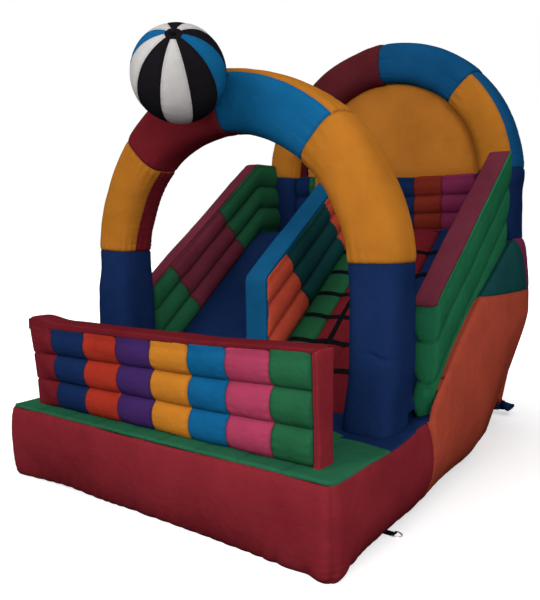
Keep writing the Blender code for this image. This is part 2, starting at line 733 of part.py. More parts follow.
def build_lanes(parent):
    """Navy slide lane, three colours of climbing tubes, and the platform."""
    wide = DIVIDER_RIGHT_X - CLEARANCE
    narrow = DIVIDER_LEFT_X - CLEARANCE
    front = WALL_FRONT_Y
    stations = (
        (RAMP_FOOT_Y + CLEARANCE, wide),
        (front - 2 * CLEARANCE, wide),
        (front - CLEARANCE, narrow),
        (RAMP_TOP_Y - CLEARANCE, narrow),
    )
    rings = []
    for y, right in stations:
        low = pad_bed(y)
        rings.append([(-PAD_EDGE_X, y, low), (right, y, low), (right, y, ramp(y)), (-PAD_EDGE_X, y, ramp(y))])
    add_piece("slide_lane", mesh_from("slide_lane", loft(rings)), "navy", parent)

    edges = (DIVIDER_RIGHT_X, GREEN_TUBE_EDGE, CRIMSON_TUBE_EDGE, PAD_EDGE_X)
    tubes = (("climb_tube_green", "green", 1), ("climb_tubes_crimson", "crimson", 2), ("climb_tubes_navy", "navy", 2))
    for (name, colour, count), left, right in zip(tubes, edges, edges[1:]):
        pad = lane_pad(left + CLEARANCE, right, count, TUBE_CROWN)
        add_piece(name, mesh_from(name, pad), colour, parent)

    start = RAMP_TOP_Y
    rear = WALL_REAR_Y
    floor = SEAT_HEIGHT - PAD_SINK + CLEARANCE
    outline = [
        (start, pad_bed(start) + CLEARANCE),
        (SEAT_BEND_Y, floor),
        (rear, floor),
        (rear, PLATFORM_HEIGHT),
        (start, PLATFORM_HEIGHT),
    ]
    platform = prism([(-PAD_EDGE_X, y, z) for y, z in outline], (2 * PAD_EDGE_X, 0, 0))
    add_piece("platform", mesh_from("platform", platform), "navy", parent)


def build_climbing_net(parent):
    """Ladder of flat straps on the climbing tubes, cut from one sheet of cells."""
    left = DIVIDER_RIGHT_X + NET_INSET
    right = WALL_INNER_X - WALL_BULGE - NET_INSET
    half = STRAP_WIDTH / 2
    columns = [left]
    rail_columns = set()
    for x in RAIL_X:
        rail_columns.add(len(columns))
        columns += [x - half, x + half]
    columns.append(right)
    rows = [FIRST_RUNG_Y - RAIL_OVERHANG]
    rung_rows = set()
    for index in range(RUNGS):
        y = FIRST_RUNG_Y + index * RUNG_PITCH
        rung_rows.add(len(rows))
        rows += [y - half, y + half]
    rows.append(rows[-1] + RAIL_OVERHANG)

    bm = bmesh.new()
    grid = [[bm.verts.new((x, y, ramp(y) + CLEARANCE)) for x in columns] for y in rows]
    for row in range(len(rows) - 1):
        for column in range(len(columns) - 1):
            if row in rung_rows or column in rail_columns:
                low, high = grid[row], grid[row + 1]
                bm.faces.new((low[column], low[column + 1], high[column + 1], high[column]))
    loose = [vert for vert in bm.verts if not vert.link_faces]
    bmesh.ops.delete(bm, geom=loose, context="VERTS")
    made = bmesh.ops.extrude_face_region(bm, geom=list(bm.faces), use_keep_orig=True)["geom"]
    moved = [item for item in made if isinstance(item, bmesh.types.BMVert)]
    bmesh.ops.translate(bm, verts=moved, vec=(0, 0, STRAP_THICKNESS))
    add_piece("climbing_net", mesh_from("climbing_net", bm), "black", parent, roughness=0.8)


def build_back_wall(parent):
    """Low wall of tubes between the back arch's legs, in three colour panels."""
    low = BACK_WALL_Y
    high = low + BACK_WALL_THICKNESS
    bottom = SEAT_HEIGHT - PAD_SINK + CLEARANCE
    section = [(high, bottom), (high, BACK_WALL_TOP)]
    section += tube_face(low, -1, PLATFORM_HEIGHT + CLEARANCE, BACK_WALL_TOP, BACK_WALL_TUBES, BACK_WALL_BULGE)[::-1]
    section.append((low, bottom))
    lean = (BACK_WALL_TOP - BACK_ARCH_SPRING) * math.tan(math.pi / 8 / ARCH_STEPS)
    reach = BACK_ARCH_RADIUS - ARCH_HALF_SECTION - lean - CLEARANCE
    edges = (-reach,) + BACK_WALL_JOINTS + (reach,)
    for colour, left, right in zip(("navy", "orange", "purple"), edges, edges[1:]):
        start = left + CLEARANCE
        block = prism([(start, y, z) for y, z in section], (right - start, 0, 0))
        name = f"back_wall_{colour}"
        add_piece(name, mesh_from(name, block), colour, parent)


def build_backdrop(parent):
    """Padded disc that fills the back arch above the wall."""
    radius = BACK_ARCH_RADIUS - ARCH_HALF_SECTION - CLEARANCE
    foot = BACK_WALL_TOP + CLEARANCE - BACK_ARCH_SPRING
    step = math.pi / 4 / ARCH_STEPS
    foot_x = radius - foot * math.tan(step / 2)
    arc = [(radius * math.cos(step * index), radius * math.sin(step * index)) for index in range(1, 4 * ARCH_STEPS)]
    outline = [(foot_x, foot)] + arc + [(-foot_x, foot)]
    middle = radius * 0.45
    front = BACKDROP_Y - BACKDROP_CROWN
    rear = BACKDROP_Y + BACKDROP_THICKNESS + BACKDROP_CROWN
    rings = []
    for y, share in (
        (front, 0.72),
        (BACKDROP_Y, 1.0),
        (BACKDROP_Y + BACKDROP_THICKNESS, 1.0),
        (rear, 0.72),
    ):
        rings.append([(x * share, y, BACK_ARCH_SPRING + middle + (z - middle) * share) for x, z in outline])
    add_piece("backdrop", mesh_from("backdrop", loft(rings)), "yellow", parent)


def build_ball(parent):
    """Panelled ball on a short collar in front of the arch's crown."""
    seat_y = FRONT_ARCH_Y - ARCH_HALF_SECTION - CLEARANCE
    first = math.asin(BALL_COLLAR_RADIUS / BALL_RADIUS)
    steps = 10
    profile = [(BALL_COLLAR_RADIUS, seat_y)]
    middle_y = seat_y - BALL_COLLAR - BALL_RADIUS * math.cos(first)
    for index in range(steps):
        turn = first + (math.pi - first) * index / steps
        profile.append((BALL_RADIUS * math.sin(turn), middle_y + BALL_RADIUS * math.cos(turn)))
    bm = bmesh.new()
    verts = [bm.verts.new((0, seat_y, BALL_Z))]
    verts += [bm.verts.new((r, y, BALL_Z)) for r, y in profile]
    verts.append(bm.verts.new((0, middle_y - BALL_RADIUS, BALL_Z)))
    edges = [bm.edges.new(pair) for pair in zip(verts, verts[1:])]
    bmesh.ops.spin(
        bm,
        geom=verts + edges,
        cent=(0, seat_y, BALL_Z),
        axis=(0, 1, 0),
        angle=2 * math.pi,
        steps=BALL_SEGMENTS,
        use_merge=True,
    )
    bmesh.ops.remove_doubles(bm, verts=bm.verts, dist=1e-5)
    add_piece("arch_ball", mesh_from("arch_ball", bm), "white", parent)


def ribbon(path, thickness):
    """The outline of a strip that follows a path in its plane."""
    left = []
    right = []
    for index, (x, z) in enumerate(path):
        before = Vector(path[max(index - 1, 0)])
        after = Vector(path[min(index + 1, len(path) - 1)])
        along = (after - before).normalized()
        left.append((x - along.y * thickness / 2, z + along.x * thickness / 2))
        right.append((x + along.y * thickness / 2, z - along.x * thickness / 2))
    return left + right[::-1]


def build_anchor(place, side, sign, y, parent):
    """A folded tab at the foot of the side, and a D-shaped ring through its eye."""
    layer = WEBBING / 2
    turn_radius = RING_WIRE + RING_RUNNING_GAP + layer
    eye_z = layer + turn_radius
    upper = layer + WEBBING + FOLD_GAP
    top_x, top_z = (LIP_X, lip(y)) if y > BED_LENGTH else (BED_HALF_WIDTH, BED_TOP)
    start = outline_x(side_outline(y - TAB_WIDTH / 2, top_x, top_z), upper + layer) + CLEARANCE
    eye_x = start + TAB_LENGTH
    path = [(start, layer), (eye_x - turn_radius, layer)]
    for index in range(10):
        turn = math.radians(-90 + 25 * index)
        path.append((eye_x + turn_radius * math.cos(turn), eye_z + turn_radius * math.sin(turn)))
    last_x, last_z = path[-1]
    path += [(last_x - (last_z - upper), upper), (start, upper)]
    outline = [(sign * x, y - TAB_WIDTH / 2, z) for x, z in ribbon(path, WEBBING)]
    name = f"anchor_tab_{place}_{side}"
    add_piece(name, mesh_from(name, prism(outline, (0, TAB_WIDTH, 0))), "black", parent, roughness=0.8)

    pivot = bpy.data.objects.new(f"ring_axis_{place}_{side}", None)
    bpy.context.collection.objects.link(pivot)
    pivot.parent = parent
    pivot.location = (sign * eye_x, y, eye_z)
    name = f"d_ring_{place}_{side}"
    curve = bpy.data.curves.new(name, "CURVE")
    curve.dimensions = "3D"
    curve.bevel_depth = RING_WIRE
    curve.bevel_resolution = 2
    half = RING_INNER_WIDTH / 2 + RING_WIRE
    points = [(0.0, -half), (0.0, half)]
    bow = 9
    for index in range(bow):
        turn = math.pi / 2 - math.pi * (index + 0.5) / bow
        points.append((0.006 + (RING_DEPTH - 0.006) * math.cos(turn), half * math.sin(turn)))
    spline = curve.splines.new("POLY")
    spline.points.add(len(points) - 1)
    spline.use_cyclic_u = True
    tilt = math.asin((eye_z - RING_WIRE) / RING_DEPTH)
    for point, (reach, along) in zip(spline.points, points):
        point.co = (sign * reach * math.cos(tilt), along, -reach * math.sin(tilt), 1.0)
    ring = add_piece(name, curve, "steel", pivot, roughness=0.25, metallic=1.0)
    return ring


def build_anchors(parent):
    """An anchor near each corner of the footprint."""
    for place, y in (("front", ANCHOR_FRONT_Y), ("rear", ANCHOR_REAR_Y)):
        for side, sign in (("left", -1), ("right", 1)):
            build_anchor(place, side, sign, y, parent)


def build_sleeve(parent):
    """Fabric tube for the blower, tied off at its neck and lying towards the right."""
    start = REAR_Y + CLEARANCE
    stations = (
        (0.00, 0.000, 1.0, SLEEVE_RADIUS, SLEEVE_RADIUS, 90),
        (0.02, 0.050, 0.92, SLEEVE_RADIUS, SLEEVE_RADIUS, 70),
        (0.08, 0.095, 0.66, SLEEVE_RADIUS * 0.85, SLEEVE_RADIUS * 0.8, 40),
        (0.18, 0.125, 0.42, SLEEVE_NECK * 1.5, SLEEVE_NECK * 1.5, 12),
        (0.25, 0.130, 0.34, SLEEVE_NECK, SLEEVE_NECK, 0),
        (0.31, 0.128, 0.30, SLEEVE_MOUTH * 0.7, SLEEVE_NECK, 0),
        (0.40, 0.125, 0.24, SLEEVE_MOUTH, SLEEVE_NECK * 0.6, 0),
    )
    rings = []
    for right, back, rise, wide, tall, heading in stations:
        turn = math.radians(heading)
        ring = []
        for index in range(12):
            around = 2 * math.pi * index / 12
            across = wide * math.cos(around)
            x = SLEEVE_X + right + across * math.sin(turn)
            y = start + back - across * math.cos(turn)
            ring.append((x, max(y, start), SLEEVE_Z * rise + tall * math.sin(around)))
        rings.append(ring)
    add_piece("inflation_sleeve", mesh_from("inflation_sleeve", loft(rings)), "navy", parent)


def build_zip(parent):
    """Deflation zip: a tape with its teeth, and a slider that runs on them."""
    face = REAR_Y + CLEARANCE
    tape = face + TAPE_THICKNESS
    teeth = tape + TEETH_HEIGHT
    half_tape = TAPE_WIDTH / 2
    half_teeth = TEETH_WIDTH / 2
    profile = [
        (face, -half_tape),
        (face, half_tape),
        (tape, half_tape),
        (tape, half_teeth),
        (teeth, half_teeth),
        (teeth, -half_teeth),
        (tape, -half_teeth),
        (tape, -half_tape),
    ]
    left = -ZIP_LENGTH / 2
    strip = prism([(left, y, ZIP_HEIGHT + z) for y, z in profile], (ZIP_LENGTH, 0, 0))
    add_piece("zip_strip", mesh_from("zip_strip", strip), "black", parent, roughness=0.7)

    guide = bpy.data.objects.new("zip_slider_path", None)
    bpy.context.collection.objects.link(guide)
    guide.parent = parent
    guide.location = (left + SLIDER_LENGTH, tape, ZIP_HEIGHT)
    base = SLIDER_GAP
    inner = TEETH_HEIGHT + SLIDER_GAP
    outer = inner + SLIDER_COVER
    half = SLIDER_WIDTH / 2
    slot = half_teeth + SLIDER_GAP
    saddle = [
        (base, -half),
        (outer, -half),
        (outer, half),
        (base, half),
        (base, slot),
        (inner, slot),
        (inner, -slot),
        (base, -slot),
    ]
    body = prism([(-SLIDER_LENGTH / 2, y, z) for y, z in saddle], (SLIDER_LENGTH, 0, 0))
    slider = add_piece("zip_slider", mesh_from("zip_slider", body), "steel", guide, roughness=0.3, metallic=1.0)
    pull = [
        (outer - 0.0005, 0.0),
        (outer - 0.0005, -half - PULL_LENGTH),
        (outer + 0.0015, -half - PULL_LENGTH),
        (outer + 0.0015, 0.0),
    ]
    tongue = prism([(-PULL_WIDTH / 2, y, z) for y, z in pull], (PULL_WIDTH, 0, 0))
    union_guide = add_guide("zip_pull_guide", mesh_from("zip_pull_guide", tongue))
    join(slider, union_guide)


def main():
    """Build the whole slide."""
    clear_scene()
    base = bpy.data.objects.new("slide", None)
    bpy.context.collection.objects.link(base)
    base.location = (0, -ORIGIN_Y, 0)

    build_landing_bed(base)
    build_deck(base)
    build_leg_band(base)
    build_ramp_core(base)
    build_side_chambers(base)
    build_rear_chamber(base)
    build_barrier(base)
    front_foot = DECK_HEIGHT + CLEARANCE
    build_arch("front", FRONT_ARCH_Y, FRONT_ARCH_RADIUS, FRONT_ARCH_SPRING, front_foot, LEG_FLARE, base)
    build_side_walls(base)
    build_divider(base)
    build_lanes(base)
    build_climbing_net(base)
    build_back_wall(base)
    back_foot = SEAT_HEIGHT + CLEARANCE
    build_arch("back", BACK_ARCH_Y, BACK_ARCH_RADIUS, BACK_ARCH_SPRING, back_foot, 1.0, base)
    build_backdrop(base)
    build_ball(base)
    build_anchors(base)
    build_sleeve(base)
    build_zip(base)


main()
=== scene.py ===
"""Looks of the inflatable slide: coated fabric chambers with sewn seams, webbing, light and camera.

Metres, +Z up. Lengths along Y are given from the front face of the landing bed, as a maker of such
slides would draw them, and each piece is then set back by the frame's own distance.
"""

import logging
import math
from collections.abc import Callable, Sequence
from dataclasses import dataclass, replace
from enum import Enum

import bmesh
import bpy
import numpy as np
from mathutils import Matrix, Vector


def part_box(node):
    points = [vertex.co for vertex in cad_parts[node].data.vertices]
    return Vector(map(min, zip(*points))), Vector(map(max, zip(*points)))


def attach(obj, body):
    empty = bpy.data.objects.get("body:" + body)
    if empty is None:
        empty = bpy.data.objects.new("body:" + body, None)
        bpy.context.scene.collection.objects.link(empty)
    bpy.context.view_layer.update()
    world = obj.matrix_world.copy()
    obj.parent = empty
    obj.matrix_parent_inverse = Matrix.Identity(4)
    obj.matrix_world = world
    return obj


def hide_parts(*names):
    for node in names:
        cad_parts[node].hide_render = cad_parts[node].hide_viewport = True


log = logging.getLogger("slide")
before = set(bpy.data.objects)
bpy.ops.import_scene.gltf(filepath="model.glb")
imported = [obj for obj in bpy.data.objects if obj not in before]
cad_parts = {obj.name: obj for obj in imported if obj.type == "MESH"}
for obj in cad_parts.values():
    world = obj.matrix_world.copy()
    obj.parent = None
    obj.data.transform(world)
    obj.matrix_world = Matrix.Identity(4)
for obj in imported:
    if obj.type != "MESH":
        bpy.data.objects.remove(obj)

BODY = "slide_body"

Array = np.ndarray
Values = float | np.ndarray
Socket = bpy.types.NodeSocket
Material = bpy.types.Material

# Landing bed and deck
FRONT_BULGE = 0.035
BED_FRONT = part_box("landing_bed")[0][1] + FRONT_BULGE
BED_HALF_WIDTH = 1.32
BED_LENGTH = 0.97
DECK_HEIGHT = 0.50
GREEN_DECK_LENGTH = 0.72
DECK_CHANNELS = 9

# Bulging sides and the tower's rounded rear corners
SIDE_BULGE = 0.025
GROUND_TUCK = 0.070
FULLEST_AT_FRONT = 0.50
FULLEST_AT_REAR = 0.68
LIP_FOOT_Y = 1.00
LIP_SLOPES = (0.84, 0.60)
LIP_BEND_Y = 1.70
LIP_BLEND = 0.10
JOINT_Y = 1.07
LIP_TOP = 1.585
PANEL_SEAM_HEIGHT = 1.205
PANEL_SEAM_SLOPE = -0.014
GROUND_ROLL = 0.088
REAR_SWELL = 0.030
REAR_TUCK = 0.120
RIM_RISE = 0.042
SHOULDER_DROP = 0.085
TOWER_SPLIT_Y = 3.05
REAR_Y = 3.33
REAR_CORNER_LENGTH = 0.88
REAR_CORNER_DEPTH = 0.45
REAR_CORNER_POWER = 2.5
REAR_LIFT = 0.24
REAR_LIFT_Y = 2.74

# Ramp, lanes and platform
RAMP_FOOT_Y = 1.06
RAMP_TOP_Y = 2.548
PLATFORM_HEIGHT = 1.66
PLATFORM_PAD = 0.09
PAD_SINK = 0.012
TUBE_CROWN = 0.028
GREEN_TUBE_EDGE = 0.19
CRIMSON_TUBE_EDGE = 0.73

# Side walls and divider
WALL_FRONT_Y = 1.235
SIDE_LEDGE = 0.02
WALL_THICKNESS = 0.135
WALL_HEIGHT = 0.743
WALL_CAP = 0.035
WALL_TUBES = 3
WALL_BULGE = 0.036
RIGHT_WALL_REAR_Y = 2.51
DIVIDER_X = -0.11
DIVIDER_THICKNESS = 0.166
DIVIDER_HEIGHT = 0.815
LEFT_WALL_FIRST_JOINT_Y = 1.41
LEFT_WALL_SECOND_JOINT_Y = 2.03
DIVIDER_JOINT_Y = 1.49

# Barrier
BARRIER_Y = 0.1825
BARRIER_THICKNESS = 0.105
BARRIER_BULGE = 0.041
BARRIER_HEIGHT = 0.588
BARRIER_INSET = 0.16
BARRIER_TUBES = 3
BARRIER_END = 0.025
BARRIER_JOINTS = (-0.93, -0.628, -0.315, -0.01, 0.30, 0.58, 0.883)

# Arches
ARCH_HALF_SECTION = 0.172
ARCH_SQUARENESS = 2.8
FRONT_ARCH_Y = 0.885
FRONT_ARCH_INSET = 0.225
FRONT_ARCH_SPRING = 1.475
BACK_ARCH_Y = 3.05
BACK_ARCH_INSET = 0.28
BACK_ARCH_SPRING = 2.09

# Back wall and the disc above it
BACK_WALL_TOP = 2.135
BACK_WALL_TUBES = 3
BACK_WALL_BULGE = 0.024
BACK_WALL_PATCH = (-0.735, -0.67, -0.58)
BACK_WALL_JOINTS = (0.35, 0.60)
BACKDROP_Y = 3.035
BACKDROP_THICKNESS = 0.06
BACKDROP_CROWN = 0.03

# Webbing ladder
STRAP_WIDTH = 0.038
FIRST_RUNG_Y = 1.33
RUNG_PITCH = 0.198
RUNGS = 6
NET_INSET = 0.045
RAIL_X = (0.32, 0.86)
RAIL_OVERHANG = 0.06

# Ball
BALL_RADIUS = 0.29
BALL_RISE = 0.05
BALL_COLLAR_RADIUS = 0.11
BALL_COLLAR = 0.035

# Inflation sleeve
SLEEVE_X = 0.62
SLEEVE_Z = 0.26
SLEEVE_RADIUS = 0.075
SLEEVE_NECK = 0.030
SLEEVE_MOUTH = 0.100

# Worked out from the sizes above
SLOPE = (PLATFORM_HEIGHT - DECK_HEIGHT) / (RAMP_TOP_Y - RAMP_FOOT_Y)
SLOPE_ANGLE = math.atan(SLOPE)
SEAT_HEIGHT = PLATFORM_HEIGHT - PLATFORM_PAD
SEAT_BEND_Y = WALL_FRONT_Y + (SEAT_HEIGHT - DECK_HEIGHT) / SLOPE
WALL_OUTER_X = BED_HALF_WIDTH - SIDE_LEDGE
WALL_INNER_X = WALL_OUTER_X - WALL_THICKNESS
WALL_X = (WALL_OUTER_X + WALL_INNER_X) / 2
BACK_WALL_Y = BACK_ARCH_Y - ARCH_HALF_SECTION
FRONT_ARCH_RADIUS = BED_HALF_WIDTH - FRONT_ARCH_INSET
BACK_ARCH_RADIUS = BED_HALF_WIDTH - BACK_ARCH_INSET
BALL_Z = FRONT_ARCH_SPRING + FRONT_ARCH_RADIUS + BALL_RISE
REAR_CORNER_Y = REAR_Y - REAR_CORNER_LENGTH

# Distance given to a point that no seam is near, and distance at which points are joined
FAR = 1.0
WELD = 1e-5

# Degrees at which an edge is sharp, and how the ends of tubes and strips round off
SHARP_ANGLE = 70
ROUND_POWER = 4.0
ROUND_RINGS = 12
TAPER_POWER = 2.6

# Widths over which the slopes run into the level parts
SEAT_BLEND = 0.05
RAMP_BLEND = 0.04


class Tint(Enum):
    """Colours of the coated fabric, as linear red, green and blue."""

    CRIMSON = (0.210, 0.0180, 0.0260)
    # A darker crimson. On the climbing tubes and the platform it is painted shade, where they lie in shadow;
    # the barrier's columns and cap and the front arch's crimson faces also take it.
    CRIMSON_DEEP_AND_SHADED = (0.145, 0.0115, 0.0175)
    WINE = (0.135, 0.0230, 0.0390)
    # Painted shade: a darker copy of crimson, for the back arch.
    SHADED_CRIMSON = (0.100, 0.0145, 0.0195)
    NAVY = (0.0075, 0.0220, 0.0800)
    SKY = (0.0062, 0.1050, 0.2500)
    # Painted shade: a darker copy of sky blue, for the back arch.
    SHADED_SKY_BACK = (0.0062, 0.0720, 0.1820)
    # Painted shade: a darker copy of sky blue, for the divider's strip.
    SHADED_SKY_TOP = (0.0065, 0.0850, 0.1950)
    AMBER = (0.500, 0.180, 0.0190)
    YELLOW = (0.420, 0.150, 0.0170)
    OCHRE = (0.470, 0.165, 0.0230)
    ORANGE = (0.350, 0.0300, 0.0160)
    # Painted light: a lighter copy of the rust orange, for the divider that lies under the arch.
    LIT_RUST = (0.560, 0.0780, 0.0410)
    RUST = (0.400, 0.0640, 0.0360)
    # Painted shade: a darker copy of the rust orange, for the back wall.
    SHADED_RUST = (0.190, 0.0230, 0.0140)
    PURPLE = (0.046, 0.0185, 0.1020)
    MAGENTA = (0.195, 0.0230, 0.0760)
    PINK = (0.355, 0.0420, 0.0950)
    GREEN = (0.0170, 0.105, 0.0450)
    # Painted light: a lighter copy of the walls' green, for the right wall that faces the lamps.
    LIT_GREEN = (0.0155, 0.138, 0.0590)
    MEADOW = (0.0190, 0.115, 0.0560)
    TEAL = (0.0090, 0.0570, 0.0580)
    WHITE = (0.520, 0.500, 0.490)
    BLACK = (0.009, 0.008, 0.010)


def smooth(share: Values) -> Values:
    """Ease a share, which is clipped to 0 and 1, from 0 to 1."""
    share = np.clip(share, 0.0, 1.0)
    return share * share * (3 - 2 * share)


def soft_least(first: Values, second: Values, blend: float) -> Values:
    """The lesser of two values, rounded where they cross over a width of blend in the same units."""
    share = np.clip(0.5 + 0.5 * (second - first) / blend, 0.0, 1.0)
    return second + (first - second) * share - blend * share * (1 - share)


def seat(y: Values) -> Values:
    """Height of the chambers' top under the walls."""
    return soft_least(DECK_HEIGHT + SLOPE * (y - WALL_FRONT_Y), SEAT_HEIGHT + 0 * y, SEAT_BLEND)


def ramp(y: Values) -> Values:
    """Height of the lanes' surface."""
    return soft_least(DECK_HEIGHT + SLOPE * (y - RAMP_FOOT_Y), PLATFORM_HEIGHT + 0 * y, RAMP_BLEND)


def lip(y: Values) -> Values:
    """Top edge of the bulging side.

    Args:
        y: Places along Y.

    Returns:
        Its height at each of them.
    """
    steep, gentle = LIP_SLOPES
    bend = DECK_HEIGHT + steep * (LIP_BEND_Y - LIP_FOOT_Y)
    line = soft_least(DECK_HEIGHT + steep * (y - LIP_FOOT_Y), bend + gentle * (y - LIP_BEND_Y), 0.08)
    line = soft_least(line, LIP_TOP + 0 * y, SEAT_BLEND)
    return DECK_HEIGHT + (line - DECK_HEIGHT) * smooth((y - JOINT_Y) / LIP_BLEND)


def fullest_x(y: Values) -> Values:
    """Half-width at the fullest height, rounded in plan behind the corner's start.

    Args:
        y: Places along Y.

    Returns:
        The half-width at each of them.
    """
    share = np.clip((y - REAR_CORNER_Y) / REAR_CORNER_LENGTH, 0.0, 1.0)
    left = (1 - share**REAR_CORNER_POWER) ** (1 / REAR_CORNER_POWER)
    swell = REAR_SWELL * smooth((y - 1.6) / 0.7) * (1 - smooth((y - 2.6) / 0.7))
    return BED_HALF_WIDTH + SIDE_BULGE + swell - REAR_CORNER_DEPTH * (1 - left)


def tube_bulge(share: Values) -> Array:
    """Round swelling of a tube between two tie seams.

    Args:
        share: Array, 0 at one seam and 1 at the next.

    Returns:
        0 at the seams and 1 at the middle, steep beside the seams.
    """
    chord = 0.90
    lift = np.sqrt(1 - (chord * (2 * share - 1)) ** 2)
    low = math.sqrt(1 - chord**2)
    return (lift - low) / (1 - low)


class Waves:
    """Smooth uneven waves through space, the same on every run."""

    COUNT = 24
    OFFSET = 100.0

    def __init__(self, seed: int, size: float) -> None:
        """Pick the waves by a seed, with their usual length in metres."""
        self.size = size
        self.table = np.random.default_rng(seed).uniform(-1.0, 1.0, (self.COUNT,) * 3)

    def at(self, places: Array) -> Array:
        """Height of the waves, from -1 to 1.

        Args:
            places: Array of points, with x, y and z last.

        Returns:
            An array without that last axis.
        """
        scaled = places / self.size + self.OFFSET
        cell = np.floor(scaled).astype(int)
        share = smooth(scaled - cell)
        total = 0.0
        for corner in range(8):
            step = np.array([corner & 1, corner >> 1 & 1, corner >> 2 & 1])
            index = (cell + step) % self.COUNT
            weight = np.prod(np.where(step, share, 1 - share), axis=-1)
            total = total + weight * self.table[index[..., 0], index[..., 1], index[..., 2]]
        return total


@dataclass(frozen=True)
class Gathers:
    """Small folds that stand square to a seam and die away from it.

    Attributes:
        pitch: Usual distance between two folds, in metres.
        depth: Height of the folds.
        reach: Distance from the seam at which they have died away to a third.
        pinch: How far the seam itself draws the fabric in.
        seed: Number that picks the folds.
    """

    pitch: float = 0.045
    depth: float = 0.006
    reach: float = 0.035
    pinch: float = 0.006
    seed: int = 1

    HEIGHT = 1.9
    MIDDLE = 0.62
    PINCH_REACH = 0.012

    def numbered(self, seed: int) -> "Gathers":
        """The same folds, picked by another number."""
        return replace(self, seed=seed)

    def lift(self, along: Array, distance: Array) -> Array:
        """How far the fabric stands out beside a seam.

        Args:
            along: Array of distances along the seam.
            distance: Array of distances from it.

        Returns:
            Array of heights in metres, negative where the fabric is drawn in.
        """
        line = np.stack([along, 0 * along, 0 * along], axis=-1)
        phase = along / self.pitch + 1.1 * Waves(self.seed + 3, self.pitch * 2.6).at(line)
        fold = np.abs(np.sin(math.pi * phase)) ** 0.8 - self.MIDDLE
        strength = 0.55 + 0.45 * Waves(self.seed + 7, self.pitch * 3.1).at(line)
        near = np.exp(-distance / self.reach)
        start = 1 - np.exp(-distance / (0.3 * self.reach))
        lift = self.depth * self.HEIGHT * strength * fold * near * start
        return lift - self.pinch * np.exp(-distance / self.PINCH_REACH)


def mirrored(right: Array, hidden: Array) -> Array:
    """A form that is the same on both sides of the slide.

    Args:
        right: Rings of its right half, the last one in the middle.
        hidden: Points that close each ring inside the slide.

    Returns:
        The rings of both halves.
    """
    right = np.concatenate([right, hidden], axis=1)
    left = right[::-1] * np.array([-1.0, 1.0, 1.0])
    return np.concatenate([right, left[1:]])


def as_mesh(name: str, bm: bmesh.types.BMesh) -> bpy.types.Mesh:
    """Turn an edited mesh into a new one, and free it.

    Args:
        name: Name of the new mesh.
        bm: The edited mesh.

    Returns:
        The new mesh.
    """
    mesh = bpy.data.meshes.new(name)
    bm.to_mesh(mesh)
    bm.free()
    return mesh


def linked(name: str, data: bpy.types.ID) -> bpy.types.Object:
    """Add an object to the scene.

    Args:
        name: Its name.
        data: Its mesh, lamp or camera.

    Returns:
        The new object.
    """
    made = bpy.data.objects.new(name, data)
    bpy.context.collection.objects.link(made)
    return made


